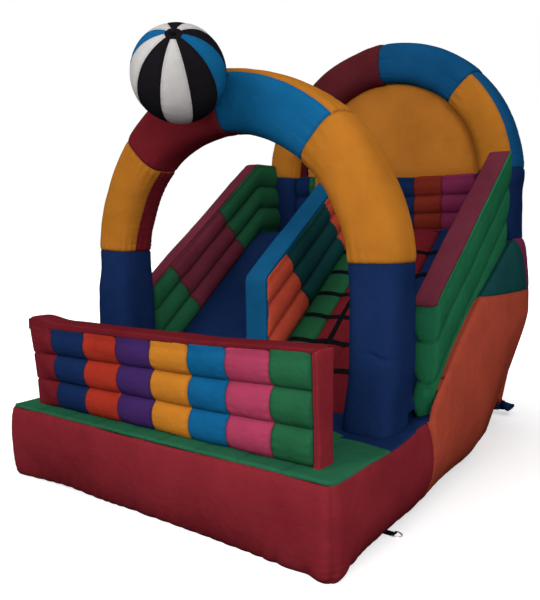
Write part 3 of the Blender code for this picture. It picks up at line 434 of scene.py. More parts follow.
class Sheet:
    """A form of fabric, held as rings of points that are later joined into one mesh."""

    def __init__(self, points: Array, closed: bool = True) -> None:
        """Take the rings.

        Args:
            points: Array of ring, point and x, y, z.
            closed: Whether each ring's last point joins its first.
        """
        self.points = np.array(points, dtype=float)
        self.closed = closed
        self.seam = np.full(self.points.shape[:2], FAR)
        self.tint = np.zeros((self.points.shape[0] - 1, self.points.shape[1] - (0 if closed else 1)), int)
        self.lengths = self.measure()

    def measure(self) -> tuple[Array, Array]:
        """Distances along and around the fabric, in metres.

        Returns:
            Two arrays, one value for each point.
        """
        along = np.linalg.norm(np.diff(self.points, axis=0), axis=2)
        along = np.concatenate([np.zeros((1, along.shape[1])), np.cumsum(along, axis=0)])
        around = np.linalg.norm(np.diff(self.points, axis=1), axis=2)
        around = np.concatenate([np.zeros((around.shape[0], 1)), np.cumsum(around, axis=1)], axis=1)
        return along, around

    def normals(self) -> Array:
        """Outward direction at each point.

        Returns:
            Array of ring, point and x, y, z.
        """
        along = np.gradient(self.points, axis=0)
        if self.closed:
            around = np.roll(self.points, -1, axis=1) - np.roll(self.points, 1, axis=1)
        else:
            around = np.gradient(self.points, axis=1)
        out = np.cross(along, around)
        out /= np.linalg.norm(out, axis=2, keepdims=True) + 1e-12
        middle = self.points.mean(axis=1, keepdims=True)
        if np.sum(out * (self.points - middle)) < 0:
            out = -out
        return out

    def swell(self, height: Array) -> None:
        """Move the fabric out by a height at each point."""
        self.points = self.points + self.normals() * height[..., None]

    def seam_at(self, distance: Array) -> None:
        """Note the distance from one more seam."""
        self.seam = np.minimum(self.seam, distance)

    def gather(self, gathers: Gathers, along: Array, distance: Array) -> None:
        """Gather the fabric beside a seam, by each point's place along it and distance from it."""
        self.swell(gathers.lift(along, distance))
        self.seam_at(distance)

    def end_seams(self, gathers: Gathers, first: bool = True, last: bool = True) -> None:
        """Gather the fabric at the seams that close the first and last rings.

        Args:
            gathers: The folds beside the seams.
            first: Whether the first ring is a seam.
            last: Whether the last ring is a seam.
        """
        along, around = self.lengths
        for wanted, distance in ((first, along), (last, along[-1:] - along)):
            if wanted:
                self.gather(gathers, around, distance)

    def line_seam(self, column: int, gathers: Gathers) -> None:
        """Gather the fabric at a seam that runs from ring to ring.

        Args:
            column: Index of the seam's point in each ring.
            gathers: The folds beside it.
        """
        along, around = self.lengths
        girth = around[:, -1:] + np.linalg.norm(self.points[:, -1:] - self.points[:, :1], axis=2)
        distance = np.abs(around - around[:, column:column + 1])
        if self.closed:
            distance = np.minimum(distance, girth - distance)
        self.gather(gathers, along, distance)

    def side_seams(self, columns: int, gathers: Gathers) -> None:
        """Gather a strip along both its sides.

        Args:
            columns: Points around the strip.
            gathers: The folds, numbered for the first side.
        """
        for column in (0, columns // 2):
            self.line_seam(column, gathers.numbered(gathers.seed + column))

    def edge_seams(self, rows: int, low: Gathers, high: Gathers) -> None:
        """Gather the fabric at its lowest row and at its top one.

        Args:
            rows: Rows up to the top one.
            low: The folds at the lowest row.
            high: The folds at the top one.
        """
        along, around = self.lengths
        top = around[:, rows - 1:rows]
        for distance, gathers in ((around, low), (np.abs(top - around), high)):
            self.gather(gathers, along, distance)

    def undulate(self, size: float, depth: float, seed: int) -> None:
        """Add low waves of a length and depth, as the air pushes the fabric out unevenly."""
        self.swell(depth * Waves(seed, size).at(self.points))

    def build(self, name: str, finishes: Sequence[Material]) -> bpy.types.Object:
        """Join the rings into a mesh and ride it on the slide's body.

        Args:
            name: Name of the piece.
            finishes: Materials, picked by the numbers in tint.

        Returns:
            The new object.
        """
        points = self.points
        if self.closed:
            points = np.concatenate([points, points[:, :1]], axis=1)
        rings, around = points.shape[:2]
        bm = bmesh.new()
        bmesh.ops.create_grid(bm, x_segments=rings - 1, y_segments=around - 1, size=0.5)
        mesh = as_mesh(name, bm)
        flat = np.empty(len(mesh.vertices) * 3)
        mesh.vertices.foreach_get("co", flat)
        places = flat.reshape(-1, 3)
        ring = np.rint((places[:, 0] + 0.5) * (rings - 1)).astype(int)
        column = np.rint((places[:, 1] + 0.5) * (around - 1)).astype(int)
        placed = points[ring, column] + np.array([0.0, BED_FRONT, 0.0])
        mesh.vertices.foreach_set("co", placed.ravel())

        seam = np.concatenate([self.seam, self.seam[:, :1]], axis=1) if self.closed else self.seam
        layer = mesh.attributes.new("seam", "FLOAT", "POINT")
        layer.data.foreach_set("value", np.minimum(seam, FAR)[ring, column])
        along, turned = Sheet(points, closed=False).lengths
        cloth = mesh.uv_layers.new(name="cloth")
        corner = np.empty(len(mesh.loops), dtype=int)
        mesh.loops.foreach_get("vertex_index", corner)
        lie = np.stack([along[ring, column], turned[ring, column]], axis=1)[corner]
        cloth.data.foreach_set("uv", lie.ravel())
        centre = places[corner].reshape(-1, 4, 3).mean(axis=1)
        face_ring = np.floor((centre[:, 0] + 0.5) * (rings - 1)).astype(int)
        face_column = np.floor((centre[:, 1] + 0.5) * (around - 1)).astype(int)
        mesh.polygons.foreach_set("material_index", self.tint[face_ring, face_column])

        bm = bmesh.new()
        bm.from_mesh(mesh)
        bmesh.ops.remove_doubles(bm, verts=bm.verts, dist=WELD)
        open_edges = [edge for edge in bm.edges if edge.is_boundary]
        bmesh.ops.holes_fill(bm, edges=open_edges, sides=0)
        bmesh.ops.recalc_face_normals(bm, faces=bm.faces)
        bm.to_mesh(mesh)
        bm.free()
        mesh.shade_smooth()
        mesh.set_sharp_from_angle(angle=math.radians(SHARP_ANGLE))
        piece = linked(name, mesh)
        for finish in finishes:
            mesh.materials.append(finish)
        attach(piece, BODY)
        log.info("%s: %d faces", name, len(mesh.polygons))
        return piece


class NodeTree:
    """Node tree of a new material or of the world, with short ways to add to it."""

    def __init__(self, owner: Material | bpy.types.World) -> None:
        """Take the owner's tree.

        Args:
            owner: A material or a world.
        """
        owner.use_nodes = True
        self.tree = owner.node_tree
        self.place = self.add("ShaderNodeTexCoord")

    def fill(self, node: bpy.types.Node, sockets: dict) -> None:
        """Set a node's inputs.

        Args:
            node: The node.
            sockets: For the name or number of an input, its value or the output that feeds it.
        """
        for name, value in sockets.items():
            if isinstance(value, Socket):
                self.tree.links.new(value, node.inputs[name])
            else:
                node.inputs[name].default_value = value

    def add(
        self, kind: str, sockets: dict | None = None, output: str | int | None = None
    ) -> bpy.types.Node | Socket:
        """Add a node.

        Args:
            kind: Its type.
            sockets: Its inputs, as for fill.
            output: The output that is wanted.

        Returns:
            That output, or the node if none is named.
        """
        node = self.tree.nodes.new(kind)
        self.fill(node, sockets or {})
        return node if output is None else node.outputs[output]

    def noise(self, scale: float, detail: float, rough: float = 0.55) -> Socket:
        """The value of a noise in the object's own coordinates, with its scale, detail and roughness."""
        sockets = {"Scale": scale, "Detail": detail, "Roughness": rough, "Vector": self.place.outputs["Object"]}
        return self.add("ShaderNodeTexNoise", sockets, "Fac")

    def spread(self, value: Socket, low: float, high: float, start: float = 0.0, end: float = 1.0) -> Socket:
        """A value whose range from low to high is mapped to the one from start to end."""
        limits = {"From Min": low, "From Max": high, "To Min": start, "To Max": end}
        return self.add("ShaderNodeMapRange", {"Value": value, **limits}, "Result")

    def sum_of(self, first: Socket | float, second: Socket | float, operation: str = "ADD") -> Socket:
        """Two values put together.

        Args:
            first: A socket or a number.
            second: A socket or a number.
            operation: What is done with them.

        Returns:
            The result's socket.
        """
        node = self.add("ShaderNodeMath", {0: first, 1: second})
        node.operation = operation
        return node.outputs["Value"]

    def mixed(self, share: Socket, first: Socket | tuple, second: Socket | tuple) -> Socket:
        """Two colours mixed.

        Args:
            share: Share of the second one.
            first: A socket, or red, green and blue.
            second: A socket, or red, green and blue.

        Returns:
            The mixed colour's socket.
        """
        node = self.add("ShaderNodeMix")
        node.data_type = "RGBA"
        colours = [(*part, 1.0) if isinstance(part, tuple) else part for part in (first, second)]
        self.fill(node, {0: share, 6: colours[0], 7: colours[1]})
        return node.outputs[2]

    def ramp(self, value: Socket, dark: tuple, light: tuple) -> Socket:
        """A colour between two others.

        Args:
            value: Share of the light one.
            dark: Red, green and blue.
            light: Red, green and blue.

        Returns:
            The colour's socket.
        """
        node = self.add("ShaderNodeValToRGB", {"Fac": value})
        for element, colour in zip(node.color_ramp.elements, (dark, light)):
            element.color = (*colour, 1.0)
        return node.outputs["Color"]

    def bump(self, height: Socket, strength: float, distance: float, below: Socket | None = None) -> Socket:
        """Relief in the shading.

        Args:
            height: The height's socket.
            strength: Its strength.
            distance: Its depth in metres.
            below: Relief that it lies on.

        Returns:
            The normal's socket.
        """
        sockets = {"Strength": strength, "Distance": distance, "Height": height}
        if below:
            sockets["Normal"] = below
        return self.add("ShaderNodeBump", sockets, "Normal")

    def seen_rays(self) -> Socket:
        """A value that is 1 where the camera, a reflection or glass looks at the studio.

        Returns:
            The value's socket.
        """
        path = self.add("ShaderNodeLightPath")
        value = path.outputs["Is Camera Ray"]
        for ray in ("Is Glossy Ray", "Is Transmission Ray"):
            value = self.sum_of(value, path.outputs[ray], "MAXIMUM")
        return value


@dataclass(frozen=True)
class Fabric:
    """Coated fabric of the chambers.

    Attributes:
        tint: Its colour.
        roughness: How dull the coating is.
    """

    tint: Tint
    roughness: float = 0.46

    def colour(self, tree: NodeTree, seam: Socket) -> Socket:
        """The fabric's colour, with fading, dust, grime in the seams, stitches and painted shade on the
        undersides near the ground.

        Args:
            tree: The material's nodes.
            seam: Distance from the nearest seam.

        Returns:
            The colour's socket.
        """
        base = self.tint.value
        spread, noise, mixed, sum_of = tree.spread, tree.noise, tree.mixed, tree.sum_of
        faded = tuple(1.12 * part + 0.002 for part in base)
        deep = tuple(0.80 * part for part in base)
        dusty = tuple(0.96 * part + 0.008 for part in base)
        colour = mixed(spread(noise(2.3, 3), 0.35, 0.68), deep, faded)
        colour = mixed(spread(noise(9.0, 4), 0.30, 0.75, 0.15, 0.75), colour, base)
        colour = mixed(spread(noise(38.0, 5, 0.7), 0.60, 0.78, 0.0, 0.35), colour, dusty)
        grime = sum_of(spread(seam, 0.004, 0.022, 0.55, 0.0), noise(60.0, 2), "MULTIPLY")
        colour = mixed(grime, colour, tuple(0.42 * part for part in base))
        place = tree.place.outputs["Object"]
        thread = sum_of(spread(seam, 0.0045, 0.0065), spread(seam, 0.0075, 0.0095, 1.0, 0.0), "MULTIPLY")
        stitches = tree.add("ShaderNodeTexVoronoi", {"Scale": 190.0, "Vector": place}, "Distance")
        thread = sum_of(thread, spread(stitches, 0.32, 0.42, 0.30, 0.0), "MULTIPLY")
        colour = mixed(thread, colour, tuple(0.8 * part + 0.05 for part in base))
        # Painted shade: faces that turn downwards, low over the ground, are darkened towards a deep copy of the
        # tint.
        facing = tree.add("ShaderNodeNewGeometry", output="Normal")
        down, height = (tree.add("ShaderNodeSeparateXYZ", {"Vector": one}, "Z") for one in (facing, place))
        painted_underside_shade = spread(down, -0.80, 0.0, 0.72, 0.0)
        painted_underside_shade = sum_of(painted_underside_shade, spread(height, 0.10, 0.60, 1.0, 0.0), "MULTIPLY")
        return mixed(painted_underside_shade, colour, tuple(0.16 * part + 0.001 for part in base))

    def material(self) -> Material:
        """The node material of this fabric.

        Returns:
            A new material.
        """
        material = bpy.data.materials.new(f"coated_fabric_{self.tint.name.lower()}")
        tree = NodeTree(material)
        attribute = tree.add("ShaderNodeAttribute")
        attribute.attribute_name = "seam"
        cloth = tree.place.outputs["UV"]
        weave = tree.add("ShaderNodeTexChecker", {"Scale": 420.0, "Vector": cloth}, "Fac")
        fine = tree.noise(75.0, 4, 0.6)
        broad = tree.spread(tree.noise(6.0, 4), 0.3, 0.75, -0.09, 0.10)
        rough = tree.sum_of(broad, tree.spread(fine, 0.3, 0.7, -0.03, 0.05))
        normal = tree.bump(tree.noise(17.0, 6, 0.62), 0.55, 0.012)
        normal = tree.bump(fine, 0.30, 0.003, normal)
        tree.fill(material.node_tree.nodes["Principled BSDF"], {
            "Specular IOR Level": 0.0,
            "Base Color": self.colour(tree, attribute.outputs["Fac"]),
            "Roughness": tree.sum_of(rough, self.roughness),
            "Normal": tree.bump(weave, 0.12, 0.0005, normal),
        })
        return material


class Finishes:
    """The slide's materials, made once each."""

    def __init__(self) -> None:
        """Make every fabric."""
        self.fabric = {tint: Fabric(tint).material() for tint in Tint}

    def __getitem__(self, tint: Tint) -> Material:
        """The material of a colour."""
        return self.fabric[tint]


@dataclass
class Part:
    """A sub-assembly of the slide.

    Attributes:
        finishes: The slide's materials.
    """

    finishes: Finishes

    def padded(self, sheet: Sheet, name: str, node: str | None, fill: float, *tints: Tint) -> None:
        """Make a piece of padded fabric.

        Args:
            sheet: Its form.
            name: Its name.
            node: The CAD node that it stands for, if there is one.
            fill: How full of air it is; not used.
            tints: Its colours, picked by the numbers in the sheet's tint.
        """
        piece = sheet.build(name, [self.finishes[tint] for tint in tints])
        if node:
            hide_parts(node)


# Gathers beside the usual seams
END_GATHERS = Gathers(pitch=0.046, depth=0.0065, reach=0.040, pinch=0.010)
TIE_GATHERS = Gathers(pitch=0.055, depth=0.0050, reach=0.022, pinch=0.003, seed=5)
CORNER_GATHERS = Gathers(pitch=0.060, depth=0.0045, reach=0.030, pinch=0.003, seed=9)
GROUND_GATHERS = Gathers(pitch=0.110, depth=0.0170, reach=0.060, pinch=0.004, seed=13)
PANEL_GATHERS = Gathers(pitch=0.130, depth=0.0030, reach=0.050, pinch=0.004, seed=17)

# Gathers that are numbered where they are used
TUBE_TIES = Gathers(pitch=0.055, depth=0.0042, reach=0.022, pinch=0.002)
TUBE_ENDS = Gathers(pitch=0.046, depth=0.0065, reach=0.038, pinch=0.010)
DECK_TIES = Gathers(pitch=0.060, depth=0.0016, reach=0.020, pinch=0.001)
LANE_TIES = Gathers(pitch=0.060, depth=0.0035, reach=0.022, pinch=0.003)
LEVEL_TIES = Gathers(pitch=0.060, depth=0.0030, reach=0.020, pinch=0.002)
BARRIER_CAP_EDGES = Gathers(pitch=0.050, depth=0.0040, reach=0.022, pinch=0.002)
BARRIER_PANEL_EDGES = Gathers(pitch=0.050, depth=0.0040, reach=0.022, pinch=0.003)
WALL_CAP_EDGES = Gathers(pitch=0.045, depth=0.0030, reach=0.018, pinch=0.002)
DIVIDER_CAP_EDGES = Gathers(pitch=0.045, depth=0.0032, reach=0.018, pinch=0.002)
LEG_CORNER = Gathers(pitch=0.070, depth=0.0045, reach=0.030, pinch=0.002)
LEG_ENDS = Gathers(pitch=0.050, depth=0.0070, reach=0.045, pinch=0.006)
ARCH_CORNERS = Gathers(pitch=0.045, depth=0.0065, reach=0.035, pinch=0.003)
ARCH_ENDS = Gathers(pitch=0.048, depth=0.0115, reach=0.060, pinch=0.008)
DISC_RIM = Gathers(pitch=0.055, depth=0.0070, reach=0.045, pinch=0.0)
GORE_SEAMS = Gathers(pitch=0.055, depth=0.0045, reach=0.022, pinch=0.004)
COLLAR_ENDS = Gathers(pitch=0.035, depth=0.0060, reach=0.030, pinch=0.003)


def evenly(first: float, last: float, step: float) -> Array:
    """Places from the first to the last, both in it, about one step apart."""
    return np.linspace(first, last, max(int(round(abs(last - first) / step)), 1) + 1)


@dataclass(frozen=True)
class TubeStack:
    """Section of a wall made of stacked tubes.

    Attributes:
        foot: Height of the lowest tie seam.
        top: Height of the highest one.
        count: Number of tubes.
        thickness: Width between the tie seams of both faces.
        bulge: How far a tube stands out from them.
        base: Height of the section's lower edge, below the foot.
        outer: Share of the bulge on the right face.
        shoulder: Share of the bulge that the uppermost tube keeps up to its top.
        rise: How far the section goes on above the top, inside the cap.
        puff: How far the free ends of the tubes stand out, as a share of the bulge.
        rows: Points up each tube.
    """

    foot: float
    top: float
    count: int
    thickness: float
    bulge: float
    base: float = 0.0
    outer: float = 1.0
    shoulder: float = 0.75
    rise: float = 0.02
    puff: float = 0.6
    rows: int = 18

    def columns(self) -> tuple[Array, Array, Array]:
        """The closed section, starting at the foot of the right face.

        Returns:
            Arrays of side from -1 to 1, height, and share of the bulge with its sign.
        """
        steps = np.arange(self.count * self.rows + 1)
        height = self.foot + (self.top - self.foot) * steps / (self.count * self.rows)
        swell = tube_bulge((steps % self.rows) / self.rows)
        swell[-1 - self.rows // 2:] = np.maximum(swell[-1 - self.rows // 2:], self.shoulder)
        over = np.linspace(1, -1, 9)[1:-1]
        crest = self.top + self.rise * (1 - over**4)
        side = np.concatenate([np.ones(len(steps)), over, -np.ones(len(steps)), -over[::3]])
        heights = np.concatenate([height, crest, height[::-1], self.base + 0 * over[::3]])
        swells = np.concatenate([swell * self.outer, over * self.shoulder, -swell[::-1], 0 * over[::3]])
        return side, heights, swells

    def ties(self) -> list[int]:
        """Columns at which the tie seams lie.

        Returns:
            Their numbers in the section.
        """
        length = self.count * self.rows + 1
        right = [index * self.rows for index in range(self.count)]
        left = [length + 7 + index * self.rows for index in range(1, self.count + 1)]
        return right + left

    def swept(
        self,
        first: Values,
        last: Values,
        round_first: float = 0.0,
        round_last: float = 0.0,
        step: float = 0.010,
    ) -> tuple[Array, Array, Array]:
        """The section swept along a line, in a frame of its own.

        Args:
            first: Where it starts, a number or an array with a value for each column.
            last: Where it ends.
            round_first: Length of the rounded start, 0 where a seam joins it to its neighbour.
            round_last: Length of the rounded end.
            step: Distance between rings.

        Returns:
            Arrays of the across, along and height values.
        """
        side, height, swell = self.columns()
        across = side * self.thickness / 2 + swell * self.bulge
        first = first + 0 * height
        last = last + 0 * height
        puff = np.abs(swell) * self.bulge * self.puff
        rings = []
        turns = (1 - np.cos(np.linspace(0, math.pi / 2, ROUND_RINGS)))[:-1]
        if round_first:
            for share in turns:
                narrow = (1 - (1 - share) ** ROUND_POWER) ** (1 / ROUND_POWER)
                rings.append((across * narrow, first - puff + (round_first + puff) * share, height))
        start = first + round_first
        end = last - round_last
        count = max(int(round(float(np.mean(end - start)) / step)), 2)
        for share in np.linspace(0, 1, count + 1):
            rings.append((across, start + (end - start) * share, height))
        if round_last:
            for share in turns[::-1]:
                narrow = (1 - (1 - share) ** ROUND_POWER) ** (1 / ROUND_POWER)
                rings.append((across * narrow, last + puff - (round_last + puff) * share, height))
        stacked = np.array(rings)
        return stacked[:, 0], stacked[:, 1], stacked[:, 2]

    def sheet(self, points: Array, first_seam: bool, last_seam: bool, seed: int = 0) -> Sheet:
        """Fabric over the swept section, gathered at its seams.

        Args:
            points: Array of ring, column and x, y, z.
            first_seam: Whether the first ring is sewn to a neighbour.
            last_seam: Whether the last one is.
            seed: Number that varies the folds.

        Returns:
            The sheet.
        """
        sheet = Sheet(points)
        sheet.undulate(0.30, 0.006, 40 + seed)
        for column in self.ties():
            sheet.line_seam(column, TUBE_TIES.numbered(seed + column))
        sheet.end_seams(TUBE_ENDS.numbered(60 + seed), first_seam, last_seam)
        sheet.undulate(0.07, 0.0016, 50 + seed)
        for ring, sewn in ((0, first_seam), (-1, last_seam)):
            if not sewn:
                sheet.points[ring] = (sheet.points[ring] + sheet.points[ring, self.opposite()]) / 2
        return sheet

    def opposite(self) -> Array:
        """For each column, the one at its height on the other face.

        Returns:
            Their numbers in the section.
        """
        length = self.count * self.rows + 1
        upper = np.arange(2 * length + 7)[::-1]
        return np.concatenate([upper, 2 * length + 9 - np.arange(3)])


@dataclass(frozen=True)
class Strip:
    """A flat padded strip, such as the cap of a wall.

    Attributes:
        width: Its width.
        thickness: Its thickness.
        squareness: Power of the section's outline, 2 for an ellipse.
        columns: Points around it.
    """

    width: float
    thickness: float
    squareness: float = 4.5
    columns: int = 44

    def section(self) -> tuple[Array, Array]:
        """Across and outward values of the section's points, around its middle.

        Returns:
            Both as arrays, one value for each point.
        """
        turn = np.linspace(0, 2 * math.pi, self.columns, endpoint=False)
        size = (np.abs(np.cos(turn)) ** self.squareness + np.abs(np.sin(turn)) ** self.squareness)
        size = size ** (-1 / self.squareness)
        return self.width / 2 * size * np.cos(turn), self.thickness / 2 * size * np.sin(turn)

    def along(self, path: Array, across: Sequence, taper: tuple[float, float] = (0.0, 0.0)) -> Array:
        """The section swept along a path.

        Args:
            path: Array of points along the strip's middle.
            across: Direction of the strip's width.
            taper: Lengths over which each end rounds off.

        Returns:
            Array of ring, column and x, y, z.
        """
        tangent = np.gradient(path, axis=0)
        tangent /= np.linalg.norm(tangent, axis=1, keepdims=True)
        across = np.array(across, dtype=float)
        out = np.cross(tangent, across)
        out *= np.sign(out[len(out) // 2, 2]) if abs(out[len(out) // 2, 2]) > 1e-6 else 1.0
        wide, thick = self.section()
        travelled = np.concatenate([[0.0], np.cumsum(np.linalg.norm(np.diff(path, axis=0), axis=1))])
        size = np.ones(len(path))
        for length, distance in ((taper[0], travelled), (taper[1], travelled[-1] - travelled)):
            if length:
                share = np.clip(distance / length, 0.0, 1.0)
                size *= np.clip(1 - (1 - share) ** TAPER_POWER, 0.0, 1.0) ** (1 / TAPER_POWER) * 0.98 + 0.02
        return (
            path[:, None]
            + (size[:, None] * wide)[..., None] * across
            + (size[:, None] * thick)[..., None] * out[:, None]
        )


def rounded_path(corners: Sequence, radius: float, step: float = 0.010) -> Array:
    """Points along a bent line in the plane of Y and Z, with its corners rounded.

    Args:
        corners: The line's corners as y, z.
        radius: How far before and after a corner the rounding reaches.
        step: Distance between points.

    Returns:
        Array of x, y, z with x at 0.
    """
    corners = [np.array(corner, dtype=float) for corner in corners]
    points = []
    before = corners[0]
    for here, after in zip(corners[1:-1], corners[2:]):
        enter = here + (before - here) / np.linalg.norm(before - here) * radius
        leave = here + (after - here) / np.linalg.norm(after - here) * radius
        points.append((points[-1][1] if points else corners[0], enter))
        points.append((enter, leave, here))
        before = here
    points.append((points[-1][1] if points else corners[0], corners[-1]))
    placed = []
    for piece in points:
        length = np.linalg.norm(piece[1] - piece[0])
        for share in evenly(0, 1, step / max(length, step))[:-1]:
            if len(piece) == 2:
                place = piece[0] + (piece[1] - piece[0]) * share
            else:
                place = piece[0] * (1 - share) ** 2 + 2 * piece[2] * share * (1 - share) + piece[1] * share**2
            placed.append((0.0, place[0], place[1]))
    placed.append((0.0, corners[-1][0], corners[-1][1]))
    return np.array(placed)


@dataclass(frozen=True)
class TopPad:
    """A chamber seen from above: crowned tubes with a rolled rim, on a base line.

    Attributes:
        left: Its left edge.
        right: Its right edge.
        tubes: Number of tubes side by side.
        crown: How far their middles stand above their seams.
        rim: Radius of the rolled rim.
        depth: Height of its sides.
        rows: Points across each tube.
    """

    left: float
    right: float
    tubes: int
    crown: float
    rim: float
    depth: float
    rows: int

    def roll(self, distance: Array) -> Array:
        """How far the rolled rim lies below the pad's top at a distance from its edge."""
        inside = np.clip(self.rim - distance, 0, self.rim)
        return self.rim - np.sqrt(np.clip(self.rim**2 - inside**2, 0, None))

    def points(
        self,
        first: float,
        last: float,
        base: Callable,
        step: float = 0.012,
        ends: tuple[bool, bool] = (True, True),
    ) -> Array:
        """The rings from one end to the other.

        Args:
            first: Start along Y.
            last: End along Y.
            base: Function that gives the surface's height at y.
            step: Distance between rings.
            ends: Whether each end is rolled down.

        Returns:
            Array of ring, column and x, y, z.
        """
        share = np.arange(self.tubes * self.rows + 1) / (self.tubes * self.rows)
        edge = smooth(np.linspace(0, 1, 8))[1:-1] * self.rim
        x = self.left + (self.right - self.left) * share
        x = np.unique(np.concatenate([x, self.left + edge, self.right - edge]).round(6))
        y = evenly(first, last, step)
        fine = smooth(np.linspace(0, 1, 8))[1:-1] * self.rim
        y = np.unique(np.concatenate([y] + [first + fine] * ends[0] + [last - fine] * ends[1]).round(6))
        place = (x - self.left) / (self.right - self.left) * self.tubes
        crown = -self.crown * (1 - tube_bulge(place - np.floor(np.clip(place, 0, self.tubes - 1e-6))))
        drop_x = self.roll(np.minimum(x - self.left, self.right - x))
        drop_y = 0 * y
        if ends[0]:
            drop_y = np.maximum(drop_y, self.roll(y - first))
        if ends[1]:
            drop_y = np.maximum(drop_y, self.roll(last - y))
        grid_x, grid_y = np.meshgrid(x, y)
        height = base(grid_y) + crown[None] - np.minimum(np.hypot(drop_x[None], drop_y[:, None]), self.rim)
        top = np.stack([grid_x, grid_y, height], axis=-1)
        under = top[:, [-1, 0]].copy()
        under[..., 2] = base(under[..., 1]) - self.depth
        return np.concatenate([top, under], axis=1)

    def sheet(self, points: Array, gathers: Gathers, seed: int = 0, waves: float = 0.004) -> Sheet:
        """Fabric over the pad, gathered at the seams between its tubes.

        Args:
            points: The rings.
            gathers: The folds beside each seam.
            seed: Number that varies the folds.
            waves: Depth of the low waves.

        Returns:
            The sheet.
        """
        sheet = Sheet(points)
        x = points[0, :-2, 0]
        sheet.undulate(0.26, waves, 20 + seed)
        for index in range(1, self.tubes):
            seam = self.left + (self.right - self.left) * index / self.tubes
            column = int(np.argmin(np.abs(x - seam)))
            sheet.line_seam(column, gathers.numbered(seed + index))
        sheet.end_seams(gathers)
        sheet.undulate(0.06, 0.0012, 30 + seed)
        return sheet


def side_outline(y: Values, turn: Array, top_x: Values, top_z: Values) -> tuple[Array, Array]:
    """Points of the bulging side.

    Args:
        y: Places along Y.
        turn: 0 at the ground, a quarter turn at the fullest height and a half turn at the top edge.
        top_x: Half-width at the top edge.
        top_z: Height of the top edge.

    Returns:
        Arrays of x and z.
    """
    low = BED_HALF_WIDTH - GROUND_TUCK * y - GROUND_ROLL * smooth(y / 0.4)
    low = np.minimum(low, fullest_x(y) - SIDE_BULGE)
    full = fullest_x(y)
    middle = (FULLEST_AT_FRONT + (FULLEST_AT_REAR - FULLEST_AT_FRONT) * y / REAR_Y) * top_z
    below = turn < math.pi / 2
    x = np.where(below, low, top_x) + (full - np.where(below, low, top_x)) * np.sin(turn)
    x = x - REAR_TUCK * smooth((y - 1.9) / 0.8) * np.where(below, np.sin(2 * turn), 0.0) ** 1.2
    z = np.where(below, middle * (1 - np.cos(turn)), middle - (top_z - middle) * np.cos(turn))
    lift = REAR_LIFT * smooth((y - REAR_LIFT_Y) / 0.24)
    return x, z + lift * (1 - z / top_z) ** 4


def side_joint(turn: Values) -> Values:
    """Where the crimson bed meets the orange side, along Y, for each turn up the side."""
    return JOINT_Y + 0.02 * np.sin(turn) ** 2


def rim_height(y: Values) -> Values:
    """Height of the side's top edge, from the deck's rim to the lip over the wall's foot."""
    low = DECK_HEIGHT - 0.014 + 0.006 * smooth((y - 0.80) / 0.16) + RIM_RISE * smooth((y - 0.55) / 0.5)
    return np.where(y < JOINT_Y, low, np.maximum(lip(y) - 0.008, low))


def rim_x(y: Values) -> Values:
    """Half-width of the side's top edge."""
    straight = BED_HALF_WIDTH - SIDE_LEDGE * smooth((y - 0.80) / 0.16) + 0.002
    return straight - SHOULDER_DROP * smooth((y - RIGHT_WALL_REAR_Y) / 0.35)


